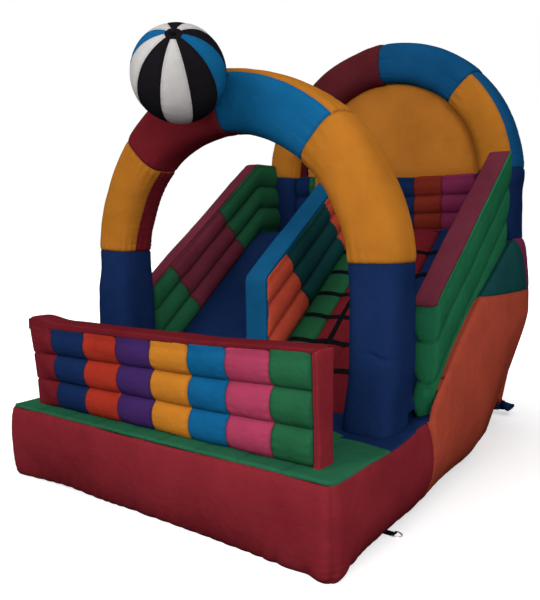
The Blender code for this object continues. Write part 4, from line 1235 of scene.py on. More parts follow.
class LandingBed(Part):
    """The crimson bed, its green deck and the navy band under the arch."""

    ROUNDING = 0.055
    FRONT_TUCK = 0.055

    def skirt(self) -> tuple[Array, tuple[int, int], int]:
        """Points of the bed's outer sheet, round its two sides and its front.

        Returns:
            Array of ring, column and x, y, z, the rings of its two corners, and the rows up its face.
        """
        turn = np.linspace(0.0, math.pi, 56)
        radius = self.ROUNDING
        joint = side_joint(turn)
        rings = []
        blend = []
        for share in evenly(1, 0, 0.012):
            y = radius + (joint - radius) * share
            rings.append((BED_HALF_WIDTH + 0 * y, y, 1.0 + 0 * y, 0.0 + 0 * y))
            blend.append(0.0)
        for angle in np.linspace(0, math.pi / 2, 12)[1:]:
            x = BED_HALF_WIDTH - radius * (1 - math.cos(angle))
            y = radius * (1 - math.sin(angle))
            rings.append((x + 0 * turn, y + 0 * turn, math.cos(angle) + 0 * turn, -math.sin(angle) + 0 * turn))
            blend.append(float(smooth(angle / (math.pi / 2))))
        corner = len(rings) - 6
        for x in evenly(BED_HALF_WIDTH - radius, 0, 0.011)[1:]:
            rings.append((x + 0 * turn, 0 * turn, 0 * turn, -1.0 + 0 * turn))
            blend.append(1.0)
        rings = np.array(rings)
        weight = np.array(blend)[:, None]
        x, y, out_x, out_y = rings[:, 0], rings[:, 1], rings[:, 2], rings[:, 3]
        side_x, side_z = side_outline(np.clip(y, 0.0, None), turn[None], rim_x(y), rim_height(y))
        tuck = self.FRONT_TUCK * (1 - (x / BED_HALF_WIDTH) ** 4) * np.cos(turn / 2)[None] ** 4
        front_out = FRONT_BULGE * np.sin(turn)[None] ** 0.8 - tuck
        out = (side_x - BED_HALF_WIDTH) * (1 - weight) + front_out * weight
        right = np.stack([x + out * out_x, y + out * out_y, side_z], axis=-1)
        hidden = right[:, [-1, 0]].copy()
        hidden[..., 0] *= 0.8
        hidden[..., 1] = hidden[..., 1] * 0.6 + 0.3
        hidden[..., 2] = (0.43, 0.03)
        return mirrored(right, hidden), (corner, 2 * len(right) - 2 - corner), len(turn)

    def seated(self, points: Array) -> Array:
        """The deck's points, with its seam bent forward beside the rims and its front corners round.

        Args:
            points: Array of ring, column and x, y, z.

        Returns:
            A new array.
        """
        x, y = points[..., 0], points[..., 1]
        near = smooth((np.abs(x) - 0.78) / 0.5) * smooth(y / GREEN_DECK_LENGTH)
        near = near * (1 - smooth((y - GREEN_DECK_LENGTH) / 0.3))
        bent = y - 0.13 * near
        radius = self.ROUNDING
        off_x = np.abs(x) - (BED_HALF_WIDTH - radius)
        off_y = radius - bent
        reach = np.hypot(off_x, off_y)
        over = np.where((off_x > 0) & (off_y > 0) & (reach > radius), radius / reach, 1.0)
        side = np.where(over < 1, np.sign(x) * (BED_HALF_WIDTH - radius + off_x * over), x)
        ahead = np.where(over < 1, radius - off_y * over, bent)
        rise = RIM_RISE * smooth((bent - 0.55) / 0.5) * smooth((np.abs(x) - 1.12) / 0.15)
        return np.stack([side, ahead, points[..., 2] + rise], axis=-1)

    def build(self) -> None:
        """Make the bed, its deck and the band."""
        points, corners, rows = self.skirt()
        sheet = Sheet(points)
        along, around = sheet.lengths
        sheet.undulate(0.42, 0.010, 3)
        sheet.undulate(0.16, 0.004, 4)
        sheet.edge_seams(rows, GROUND_GATHERS, TIE_GATHERS)
        for corner in corners:
            distance = np.abs(along - along[corner:corner + 1])
            sheet.gather(CORNER_GATHERS, around, distance)
        sheet.end_seams(END_GATHERS)
        sheet.points[..., 2] = np.maximum(sheet.points[..., 2], 0.0)
        self.padded(sheet, "bed_skirt", "landing_bed", 0.9, Tint.CRIMSON)

        deck = TopPad(-BED_HALF_WIDTH, BED_HALF_WIDTH, DECK_CHANNELS, 0.0035, 0.016, 0.05, 24)
        points = deck.points(0.0, GREEN_DECK_LENGTH, lambda y: DECK_HEIGHT + 0.004 + 0 * y, ends=(True, False))
        points = self.seated(points)
        self.padded(deck.sheet(points, DECK_TIES, 2, 0.003), "deck_top", "landing_deck", 0.9, Tint.MEADOW)

        band = TopPad(-BED_HALF_WIDTH, BED_HALF_WIDTH, 3, 0.004, 0.016, 0.05, 60)
        points = band.points(
            GREEN_DECK_LENGTH, WALL_FRONT_Y + 0.02, lambda y: DECK_HEIGHT + 0.002 + 0 * y, ends=(False, False)
        )
        narrow = 1 - (1 - WALL_OUTER_X / BED_HALF_WIDTH) * smooth((points[..., 1] - 0.90) / 0.08)
        points[..., 0] *= narrow
        sheet = band.sheet(self.seated(points), DECK_TIES, 4, 0.003)
        self.padded(sheet, "band_top", "leg_band", 0.9, Tint.NAVY)


class Tower(Part):
    """The bulging sides, their upper panels and the chamber across the back."""

    CHAMBER_ROWS = 110
    PANEL_ROWS = 46
    PANEL_START_Y = 1.80
    REAR_PATCH_Y = 2.77
    REAR_FOOT = 0.17
    ZIP_HEIGHT = 0.50

    def side_points(self, first: Callable, last: float, turns: Callable, rows: int) -> Array:
        """Rings of one side from one end to the other.

        Args:
            first: Start along Y for each row.
            last: End along Y.
            turns: Function that gives the lowest and the highest turn at y.
            rows: Points up the side.

        Returns:
            Array of ring, column and x, y, z, with hidden inner points last.
        """
        rings = []
        share_up = np.linspace(0.0, 1.0, rows)
        count = int((last - JOINT_Y) / 0.013)
        for share in np.linspace(0, 1, count + 1):
            y = first(share_up) + (last - first(share_up)) * share
            lowest, highest = turns(y)
            turn = lowest + (highest - lowest) * share_up
            x, z = side_outline(y, turn, rim_x(y), rim_height(y))
            rings.append(np.stack([x, y, z], axis=-1))
        points = np.array(rings)
        top, floor = points[:, -1:], points[:, :1]
        level = np.minimum(seat(top[..., 1]) - PAD_SINK - 0.03, top[..., 2] - 0.03)
        wide = 0.014 + 0.056 * smooth((top[..., 1] - WALL_FRONT_Y) / 0.08)
        shelf = np.stack([top[..., 0] - wide, top[..., 1], top[..., 2] - 0.012 - 0.15 * wide], axis=-1)
        if rows < self.CHAMBER_ROWS:
            inner = np.minimum(floor[..., 0], shelf[..., 0]) - 0.02
            ledge = np.stack([inner, top[..., 1], floor[..., 2] + 0.01], axis=-1)
            return np.concatenate([points, top - np.array([0.012, 0.0, 0.008]), shelf, ledge], axis=1)
        ledge = np.stack([shelf[..., 0] - 0.004, top[..., 1], level], axis=-1)
        inner = ledge.copy()
        inner[..., 0] = 0.84
        under = inner.copy()
        under[..., 2] = 0.01
        return np.concatenate([points, shelf, ledge, inner, under], axis=1)

    def seam_turn(self, y: Values) -> Values:
        """The turn at which the upper panel's seam lies.

        Args:
            y: Places along Y.

        Returns:
            The turn at each of them, as in side_outline.
        """
        top = rim_height(y)
        middle = (FULLEST_AT_FRONT + (FULLEST_AT_REAR - FULLEST_AT_FRONT) * y / REAR_Y) * top
        height = PANEL_SEAM_HEIGHT + PANEL_SEAM_SLOPE * (y - 1.9)
        rise = np.clip((height - middle) / (top - middle), 0.0, 1.0)
        return math.pi / 2 + np.arcsin(rise)

    def side(self, name: str, sign: int) -> None:
        """Make one side's chamber and panel.

        Args:
            name: left or right.
            sign: -1 or 1.
        """
        points = self.side_points(
            lambda up: side_joint(math.pi * up),
            TOWER_SPLIT_Y,
            lambda y: (0 * y, self.seam_turn(y)),
            self.CHAMBER_ROWS,
        )
        sheet = self.sewn(points, sign, self.CHAMBER_ROWS, True, 70)
        sheet.tint[:, self.CHAMBER_ROWS:] = 1
        self.padded(sheet, f"side_bulge_{name}", f"side_chamber_{name}", 0.9, Tint.RUST, Tint.NAVY)

        points = self.side_points(
            lambda up: self.PANEL_START_Y + 0 * up,
            TOWER_SPLIT_Y,
            lambda y: (self.seam_turn(y), math.pi + 0 * y),
            self.PANEL_ROWS,
        )
        sheet = self.sewn(points, sign, self.PANEL_ROWS, False, 70)
        sheet.tint = (sheet.points[:-1, :, 1] > self.REAR_PATCH_Y).astype(int)
        self.padded(sheet, f"side_cheek_{name}", f"side_panel_{name}", 0.9, Tint.TEAL, Tint.MAGENTA)

    def sewn(self, points: Array, sign: int, rows: int, ground: bool, seed: int) -> Sheet:
        """Fabric over a side, gathered at the ground or its seam and at its top edge.

        Args:
            points: The rings.
            sign: -1 for the left side, 1 for the right one.
            rows: Points up the side.
            ground: Whether the lowest row lies on the ground.
            seed: Number that varies the folds.

        Returns:
            The sheet.
        """
        sheet = Sheet(points)
        sheet.undulate(0.50, 0.016, seed)
        sheet.undulate(0.20, 0.004, seed + 1)
        sheet.edge_seams(rows, GROUND_GATHERS if ground else PANEL_GATHERS, PANEL_GATHERS)
        sheet.end_seams(PANEL_GATHERS)
        if ground:
            sheet.points[..., 2] = np.maximum(sheet.points[..., 2], 0.0)
        sheet.points = sheet.points * np.array([sign, 1.0, 1.0])
        return sheet

    def rear(self) -> None:
        """Make the chamber across the back, round both rear corners."""
        turn = np.linspace(0, math.pi, 90)
        power = 2 / REAR_CORNER_POWER
        start = math.asin(((TOWER_SPLIT_Y - REAR_CORNER_Y) / REAR_CORNER_LENGTH) ** (1 / power))
        side_x, side_z = side_outline(TOWER_SPLIT_Y + 0 * turn, turn, rim_x(TOWER_SPLIT_Y), SEAT_HEIGHT)
        side_in = fullest_x(TOWER_SPLIT_Y) - side_x
        below = turn < math.pi / 2
        deepest = np.where(below, self.REAR_FOOT, REAR_Y - TOWER_SPLIT_Y)
        side_share = side_in / np.where(below, side_in[0], side_in[-1])
        rear_share = 1 - np.sin(turn) ** 0.5
        end_x = fullest_x(REAR_Y)
        from_x = fullest_x(TOWER_SPLIT_Y) - np.where(below, side_in[0], side_in[-1])
        rear_z = SEAT_HEIGHT * (1 - np.cos(turn)) / 2
        rear_z = rear_z + 0.3 * REAR_LIFT * (1 - rear_z / SEAT_HEIGHT) ** 4
        rings = []
        for angle in np.linspace(start, math.pi / 2, 34):
            weight = float(smooth((angle - start) / (math.pi / 2 - start)))
            x = end_x + REAR_CORNER_DEPTH * math.cos(angle) ** power
            y = REAR_CORNER_Y + REAR_CORNER_LENGTH * math.sin(angle) ** power
            edge_x = end_x + (from_x - end_x) * math.cos(math.pi / 2 * weight)
            edge_y = TOWER_SPLIT_Y + (REAR_Y - deepest - TOWER_SPLIT_Y) * math.sin(math.pi / 2 * weight)
            share = side_share * (1 - weight) + rear_share * weight
            z = side_z * (1 - weight) + rear_z * weight
            rings.append(np.stack([x + (edge_x - x) * share, y + (edge_y - y) * share, z], axis=-1))
        for x in evenly(end_x, 0, 0.014)[1:]:
            rings.append(np.stack([x + 0 * turn, REAR_Y - deepest * rear_share, rear_z], axis=-1))
        right = np.array(rings)
        hidden = right[:, [-1, 0]].copy()
        hidden[..., 0] *= 0.8
        hidden[..., 1] = TOWER_SPLIT_Y
        hidden[:, 0, 2] -= 0.03
        hidden[:, 1, 2] += 0.02
        sheet = Sheet(mirrored(right, hidden))
        sheet.undulate(0.50, 0.014, 90)
        sheet.undulate(0.17, 0.004, 91)
        sheet.edge_seams(len(turn), GROUND_GATHERS, CORNER_GATHERS)
        sheet.end_seams(END_GATHERS)
        places = sheet.points
        beside = np.exp(-(((places[..., 2] - self.ZIP_HEIGHT) / 0.07) ** 4))
        beside = beside * smooth((0.45 - np.abs(places[..., 0])) / 0.08)
        beside = np.where(places[..., 1] > REAR_Y - 0.1, beside, 0.0)
        places[..., 1] = np.minimum(places[..., 1] + (REAR_Y - places[..., 1]) * beside, REAR_Y)
        places[..., 2] = np.maximum(places[..., 2], 0.0)
        self.padded(sheet, "rear_bulge", "rear_chamber", 0.9, Tint.RUST)

    def build(self) -> None:
        """Make both sides and the back."""
        self.side("left", -1)
        self.side("right", 1)
        self.rear()


class Barrier(Part):
    """The low wall at the front of the bed: colour columns of three tubes in a crimson frame."""

    HALF_WIDTH = BED_HALF_WIDTH - BARRIER_INSET
    COLOURS = (Tint.NAVY, Tint.ORANGE, Tint.PURPLE, Tint.AMBER, Tint.SKY, Tint.PINK, Tint.GREEN)
    NODES = ("navy", "orange", "purple", "yellow", "sky", "pink", "green")
    BAND = 0.046
    BAND_LOSS = 0.022
    END_RISE = 0.020
    LEAN = 0.085

    def __init__(self, finishes: Finishes) -> None:
        """Set the section up.

        Args:
            finishes: The slide's materials.
        """
        super().__init__(finishes)
        bottom = DECK_HEIGHT
        top = DECK_HEIGHT + BARRIER_HEIGHT - self.BAND
        self.stack = TubeStack(
            bottom, top, BARRIER_TUBES, BARRIER_THICKNESS, BARRIER_BULGE, bottom, rise=0.006, puff=0.0
        )

    def column(self, first: float, last: float, seed: int, free: bool = False) -> Sheet:
        """One column of tubes from one joint to the next.

        Args:
            first: Left joint.
            last: Right joint.
            seed: Number that varies the folds.
            free: Whether the left end is free and rounded.

        Returns:
            The sheet.
        """
        across, along, height = self.stack.swept(first, last, 0.03 if free else 0.0, step=0.007)
        if free:
            flat = np.clip(across, -BARRIER_THICKNESS / 2, BARRIER_THICKNESS / 2) * 1.3
            across = flat + (across - flat) * smooth((along - first) / (last - first) * 1.1)
        height = DECK_HEIGHT + (height - DECK_HEIGHT) * (self.top(along) - self.band(along) - DECK_HEIGHT) / (
            BARRIER_HEIGHT - self.BAND
        )
        points = np.stack([self.leaning(along, height), BARRIER_Y - across, height], axis=-1)
        sheet = self.stack.sheet(points, not free, True, seed)
        if free:
            sheet.points[:12, :, 0] = points[:12, :, 0]
        return sheet

    def top(self, x: Values) -> Values:
        """Height of the barrier's top at x."""
        return DECK_HEIGHT + BARRIER_HEIGHT + self.END_RISE * smooth((x - 0.3) / 0.8)

    def band(self, x: Values) -> Values:
        """Height of the cap's face at x, less towards the right end."""
        return self.BAND - self.BAND_LOSS * (x + self.HALF_WIDTH) / (2 * self.HALF_WIDTH)

    def leaning(self, x: Values, z: Values) -> Values:
        """Places along the barrier, pushed out to the left near its top left corner."""
        rise = np.clip((z - DECK_HEIGHT) / BARRIER_HEIGHT, 0, 1)
        return x - self.LEAN * rise**1.5 * smooth((-0.55 - x) / 0.6)

    def build(self) -> None:
        """Make the columns and their frame."""
        end = self.HALF_WIDTH - BARRIER_END
        edges = BARRIER_JOINTS + (end,)
        for index, (left, right) in enumerate(zip(edges, edges[1:])):
            sheet = self.column(left, right, 100 + 7 * index)
            node = self.NODES[index]
            self.padded(sheet, f"barrier_tubes_{node}", f"barrier_{node}", 0.9, self.COLOURS[index])
        sheet = self.column(-self.HALF_WIDTH, edges[0], 170, free=True)
        self.padded(sheet, "barrier_tubes_crimson", None, 0.9, Tint.CRIMSON_DEEP_AND_SHADED)

        top = DECK_HEIGHT + BARRIER_HEIGHT
        strip = Strip(BARRIER_THICKNESS + 1.56 * BARRIER_BULGE, 0.024, 4.2)
        x = evenly(-self.HALF_WIDTH + 0.002, self.HALF_WIDTH + 0.004, 0.009)
        hump = 0.030 * np.exp(-((x + self.HALF_WIDTH - 0.08) / 0.13) ** 2)
        path = np.stack([self.leaning(x, top), BARRIER_Y + 0 * x, self.top(x) - 0.012 + hump], axis=-1)
        points = strip.along(path, (0, 1, 0), (0.0, 0.02))
        rounded = smooth(1 - (x + self.HALF_WIDTH) / 0.05)[:, None] ** 2
        upper = points[..., 2] > path[:, None, 2]
        points[..., 2] -= np.where(upper, 0.030 * rounded, 0.0)
        slim = 1 - 0.20 * (1 - smooth((x + self.HALF_WIDTH) / 0.28))[:, None]
        points[..., 1] = BARRIER_Y + (points[..., 1] - BARRIER_Y) * slim
        lower = points[..., 2] < path[:, None, 2]
        points[..., 2] -= np.where(lower, (self.band(x) - 0.018 + hump)[:, None], 0.0)
        sheet = Sheet(points)
        sheet.undulate(0.20, 0.004, 31)
        low_edges = (strip.columns * 5 // 8, strip.columns * 7 // 8)
        for column in low_edges:
            sheet.line_seam(column, BARRIER_CAP_EDGES.numbered(33 + column))
        self.padded(sheet, "barrier_cap", None, 0.8, Tint.CRIMSON_DEEP_AND_SHADED)

        plate = Strip(BARRIER_THICKNESS + 1.35 * BARRIER_BULGE, BARRIER_END + 0.014, 6.0)
        z = evenly(DECK_HEIGHT - 0.002, float(self.top(end)) - 0.004, 0.009)
        path = np.stack([end + BARRIER_END / 2 + 0.008 + 0 * z, BARRIER_Y + 0 * z, z], axis=-1)
        points = plate.along(path, (0, 1, 0), (0.0, 0.02))
        rise = (z - DECK_HEIGHT)[:, None] / BARRIER_HEIGHT
        flare = 0.82 + 0.20 * rise + 0.14 * np.exp(-rise * BARRIER_HEIGHT / 0.035)
        points[..., 1] = BARRIER_Y + (points[..., 1] - BARRIER_Y) * flare
        sheet = Sheet(points)
        sheet.side_seams(plate.columns, BARRIER_PANEL_EDGES.numbered(43))
        sheet.undulate(0.12, 0.004, 35)
        self.padded(sheet, "barrier_end_panel", "barrier_frame", 0.8, Tint.CRIMSON)


@dataclass
class Arch(Part):
    """An inflated arch on two legs, with four colour panels round its crown.

    Attributes:
        prefix: front or back.
        y: Its middle plane.
        radius: Radius of its middle line.
        spring: Height at which the half ring starts.
        foot: Height of the legs' feet.
        inner: Colours of the inner faces, from the right round to the left.
        outer: Colours of the outer faces.
        leg_fold: Share of the legs' height at which the air leaves a crease, 0 for none.
        swell: Share by which the legs are fuller than the ring.
        shift: How far the legs stand outwards above the fold.
        turn_in: How far their feet stand inwards from there.
        leg_squareness: Power of the legs' outline, 2 for an ellipse.
        joints: How far above the half ring's start the left and the right leg reach.
        uneven: Share of the unevenness of the half ring's inner and outer edges.
        lean: How far the left side of the half ring stands out.
        red: Colour of its crimson panel.
        blue: Colour of its sky blue panel.
    """

    prefix: str
    y: float
    radius: float
    spring: float
    foot: float
    inner: tuple
    outer: tuple
    leg_fold: float = 0.0
    swell: tuple = (0.0, 0.0)
    shift: tuple = (0.0, 0.0)
    turn_in: tuple = (0.0, 0.0)
    leg_squareness: float = ARCH_SQUARENESS
    joints: tuple = (0.0, 0.0)
    uneven: float = 0.0
    lean: float = 0.0
    red: Tint = Tint.CRIMSON_DEEP_AND_SHADED
    blue: Tint = Tint.SKY

    COLUMNS = 112
    CORNERS = (0, 28, 56, 75)

    def section(self, power: float = ARCH_SQUARENESS) -> tuple[Array, Array, Array]:
        """Outward and backward values of the section, and its four colour faces.

        Args:
            power: Power of its outline.

        Returns:
            Three arrays, one value for each column.
        """
        turn = np.linspace(-math.pi / 4, 7 * math.pi / 4, self.COLUMNS, endpoint=False)
        size = (np.abs(np.cos(turn)) ** power + np.abs(np.sin(turn)) ** power) ** (-1 / power)
        face = (np.searchsorted(self.CORNERS, np.arange(self.COLUMNS), side="right") - 1) % 4
        return ARCH_HALF_SECTION * size * np.cos(turn), ARCH_HALF_SECTION * size * np.sin(turn), face

    def fuller(self, angle: Array, out: Array) -> Array:
        """How far each column of the half ring stands out beyond its section.

        Args:
            angle: Array of places round the ring.
            out: Outward values of the section.

        Returns:
            Array of ring and column.
        """
        turn = np.degrees(angle)[:, None]
        inner = 0.028 * smooth(turn / 25) * smooth((180 - turn) / 25)
        inner = inner + 0.060 * np.exp(-(((turn - 80) / 45) ** 4))
        outer = 0.022 * np.exp(-((turn / 14) ** 2)) - 0.035 * np.exp(-(((turn - 72) / 28) ** 2))
        share = out[None] / ARCH_HALF_SECTION
        return self.uneven * np.where(share < 0, inner, outer) * share

    def leaning(self, angle: Array) -> Array:
        """How far the half ring stands out to the left at each place."""
        turn = np.degrees(angle)
        return self.lean * (0.6 * smooth((turn - 135) / 20) + 0.4 * np.exp(-(((turn - 158) / 12) ** 2)))

    def leg(self, side: str, sign: int) -> None:
        """Make one leg.

        Args:
            side: left or right.
            sign: -1 or 1.
        """
        out, back, _ = self.section()
        number = int(sign > 0)
        way = evenly(self.foot, self.spring + self.joints[number], 0.011)
        angle = np.maximum(way - self.spring, 0.0) / self.radius
        z = np.minimum(way, self.spring)
        height = z - self.foot
        share = height / (self.spring - self.foot)
        below = smooth((1 - share) / 0.25)
        low = 1 - smooth(share / 0.45)
        flare = 1 + 0.030 * np.exp(-height / 0.05) + self.swell[number] * below
        middle = self.radius + self.shift[number] * below - self.turn_in[number] * low
        square_out, square_back, _ = self.section(self.leg_squareness)
        out = out + (square_out - out) * below[:, None]
        back = back + (square_back - back) * below[:, None]
        reach = middle[:, None] + flare[:, None] * out
        if sign > 0:
            fuller = self.fuller(0 * angle, out[-1]) * np.exp(-(((self.spring - z) / 0.22) ** 2))[:, None]
            reach = reach + np.where(angle[:, None] > 0, self.fuller(angle, out[-1]), fuller)
        else:
            fuller = np.where(angle[:, None] > 0, self.fuller(math.pi - angle, out[-1]), 0.0)
            reach = reach + fuller + (self.leaning(math.pi - angle) * smooth(share / 0.5))[:, None]
        points = np.stack(
            [
                sign * reach * np.cos(angle)[:, None],
                self.y + flare[:, None] * back,
                z[:, None] + reach * np.sin(angle)[:, None],
            ],
            axis=-1,
        )
        sheet = Sheet(points)
        sheet.undulate(0.34, 0.008, 200 + sign)
        inner_back = self.CORNERS[2 if sign > 0 else 1]
        sheet.line_seam(inner_back, LEG_CORNER.numbered(210 + sign))
        sheet.end_seams(LEG_ENDS.numbered(220 + sign))
        if self.leg_fold:
            place = self.foot + self.leg_fold * (self.spring - self.foot)
            across = (points[..., 0] - sign * self.radius) / ARCH_HALF_SECTION
            line = place - 0.030 * (across - 0.4) + 0.016 * Waves(230, 0.07).at(points)
            fade = np.exp(-(((across - 0.45) / 0.42) ** 2)) * (points[..., 1] < self.y)
            sheet.swell(-0.013 * fade * np.exp(-np.abs(points[..., 2] - line) / 0.010))
            sheet.swell(0.004 * fade * np.exp(-(((points[..., 2] - line) - 0.03) / 0.02) ** 2))
        sheet.undulate(0.08, 0.0018, 240 + sign)
        node = f"{self.prefix}_leg_{side}"
        self.padded(sheet, f"{node}_fabric", node, 0.95, Tint.NAVY)

    def panel(self, index: int, name: str, tint: Tint) -> None:
        """Make one panel of the half ring.

        Args:
            index: Its number, counted from the right.
            name: Its name, as in its CAD node.
            tint: Colour of its front and rear faces.
        """
        out, back, face = self.section()
        quarter = math.pi / 4
        first = self.joints[1] / self.radius if index == 0 else index * quarter
        last = math.pi - self.joints[0] / self.radius if index == 3 else (index + 1) * quarter
        angle = evenly(first, last, 0.010 / self.radius)
        reach = self.radius + out[None] + self.fuller(angle, out)
        points = np.stack(
            [
                reach * np.cos(angle)[:, None] - self.leaning(angle)[:, None],
                self.y + back[None] + 0 * angle[:, None],
                self.spring + reach * np.sin(angle)[:, None],
            ],
            axis=-1,
        )
        sheet = Sheet(points)
        sheet.undulate(0.30, 0.007, 250 + index)
        middle = len(angle) // 2
        along = np.repeat((angle * self.radius)[:, None], len(out), axis=1)
        around = np.repeat(sheet.lengths[1][middle:middle + 1], len(angle), axis=0)
        girth = float(around[0, -1] + np.linalg.norm(points[middle, 0] - points[middle, -1]))
        for corner, column in enumerate(self.CORNERS):
            if corner in (0, 1) and self.outer[index] == tint or corner in (2, 3) and self.inner[index] == tint:
                continue
            distance = np.abs(around - around[:, column:column + 1])
            distance = np.minimum(distance, girth - distance)
            sheet.gather(ARCH_CORNERS.numbered(260 + column), along, distance)
        ends = ARCH_ENDS.numbered(270 + index)
        for distance in (along - along[:1], along[-1:] - along):
            sheet.gather(ends, around, distance)
        sheet.undulate(0.08, 0.0018, 280 + index)
        number = np.array([1, 0, 2, 0])
        sheet.tint = np.repeat(number[face][None], len(angle) - 1, axis=0)
        node = f"{self.prefix}_arch_{name}"
        self.padded(sheet, f"{node}_fabric", node, 0.95, tint, self.outer[index], self.inner[index])

    def build(self) -> None:
        """Make the whole arch."""
        for side, sign in (("left", -1), ("right", 1)):
            self.leg(side, sign)
        panels = (
            ("yellow_right", Tint.YELLOW),
            ("sky", self.blue),
            ("crimson", self.red),
            ("yellow_left", Tint.YELLOW),
        )
        for index, (name, tint) in enumerate(panels):
            self.panel(index, name, tint)


class SideWalls(Part):
    """The scalloped walls outside the lanes, and their caps."""

    RIGHT_FOOT = -0.02
    CAP_WIDTH = {-1: 0.132, 1: 0.158}
    CAP_INSET = {-1: 0.010, 1: 0.016}
    LEFT_RISE = 0.025
    CAP_THICKNESS = 0.022

    def __init__(self, finishes: Finishes) -> None:
        """Set the section up.

        Args:
            finishes: The slide's materials.
        """
        super().__init__(finishes)
        lane = float(ramp(WALL_FRONT_Y) - seat(WALL_FRONT_Y)) - 0.01
        top = WALL_HEIGHT - 0.012
        size = (top, WALL_TUBES, WALL_THICKNESS, WALL_BULGE)
        self.left = TubeStack(lane, *size, 0.03, 0.5, 0.5, 0.004)
        self.right = TubeStack(self.RIGHT_FOOT, *size, -0.045, 0.5, 0.5, 0.004, 0.35)

    def square_cut(self, y: Values) -> Array:
        """Where a joint lies that is cut square to the slope, for each column."""
        _, height, _ = self.left.columns()
        return y - (height - WALL_HEIGHT) * math.sin(SLOPE_ANGLE) * math.cos(SLOPE_ANGLE)

    def piece(
        self,
        name: str,
        node: str,
        tint: Tint,
        sign: int,
        first: Values,
        last: Values,
        rounded: tuple[float, float],
        seed: int,
    ) -> None:
        """Make one stretch of wall.

        Args:
            name: Its name.
            node: The CAD node that it stands for.
            tint: Its colour.
            sign: -1 for the left wall, 1 for the right one.
            first: Start along Y.
            last: End along Y.
            rounded: Lengths of its rounded ends.
            seed: Number that varies the folds.
        """
        stack = self.right if sign > 0 else self.left
        across, along, height = stack.swept(first, last, *rounded)
        low = np.clip(1 - height / WALL_HEIGHT, 0, 1)
        across = across - np.where(across > 0, 0.045 * low + 0.004 * (1 - low), 0.0)
        if sign < 0:
            share = np.clip((along - WALL_FRONT_Y) / 1.5, 0, 1)
            inner = np.clip(-across / 0.05, 0, 1)
            across = across - inner * (0.070 - 0.018 * share) * low
            height = height * (1 + self.LEFT_RISE / WALL_HEIGHT * (1 - share))
        points = np.stack([sign * (WALL_X + across), along, seat(along) + height], axis=-1)
        sheet = stack.sheet(points, not rounded[0], not rounded[1], seed)
        if rounded[0]:
            corner = np.abs(points[..., 1] - WALL_FRONT_Y - 0.010) + 0.004
            sheet.seam_at(np.where(across > 0.02, corner, FAR))
        self.padded(sheet, name, node, 0.9, tint)

    def cap(self, side: str, sign: int, rear: float) -> None:
        """Make the strip on top of a wall, with its front end hanging over.

        Args:
            side: left or right.
            sign: -1 or 1.
            rear: Its rear end along Y.
        """
        lift = WALL_HEIGHT - self.CAP_THICKNESS / 2 + 0.002
        front = WALL_FRONT_Y
        rise = self.LEFT_RISE if sign < 0 else 0.0
        corners = (
            (front - 0.010, float(seat(front)) + lift + rise - 0.030),
            (front - 0.006, float(seat(front)) + lift + rise + 0.002),
            *[(SEAT_BEND_Y, SEAT_HEIGHT + lift)] * (rear > SEAT_BEND_Y),
            (rear, float(seat(rear)) + lift),
        )
        path = rounded_path(corners, 0.03)
        path[:, 0] = sign * (WALL_X - self.CAP_INSET[sign])
        strip = Strip(self.CAP_WIDTH[sign], self.CAP_THICKNESS, 6.5)
        points = strip.along(path, (1, 0, 0), (0.012, 0.01))
        sheet = Sheet(points)
        sheet.undulate(0.22, 0.004, 300 + sign)
        sheet.side_seams(strip.columns, WALL_CAP_EDGES.numbered(303 + sign))
        sheet.undulate(0.07, 0.0014, 305)
        self.padded(sheet, f"{side}_wall_strip", f"{side}_wall_cap", 0.8, Tint.WINE)

    def build(self) -> None:
        """Make both walls."""
        rear = BACK_WALL_Y + 0.012
        ends = (0.035, 0.02)
        right_rear = RIGHT_WALL_REAR_Y
        # The right wall takes the lighter green, as painted light; the left wall keeps the plain green.
        self.piece("right_wall_tubes", "right_wall", Tint.LIT_GREEN, 1, WALL_FRONT_Y, right_rear, ends, 310)
        first = self.square_cut(LEFT_WALL_FIRST_JOINT_Y)
        second = self.square_cut(LEFT_WALL_SECOND_JOINT_Y)
        stretches = (
            ("green_front", Tint.GREEN, WALL_FRONT_Y, first, (0.035, 0.0)),
            ("crimson", Tint.WINE, first, second, (0.0, 0.0)),
            ("green_rear", Tint.GREEN, second, rear + 0.03, (0.0, 0.0)),
        )
        for index, (part, tint, start, end, rounded) in enumerate(stretches):
            name = f"left_wall_tubes_{part}"
            self.piece(name, f"left_wall_{part}", tint, -1, start, end, rounded, 320 + 9 * index)
        self.cap("left", -1, BACK_WALL_Y + 0.004)
        self.cap("right", 1, right_rear)


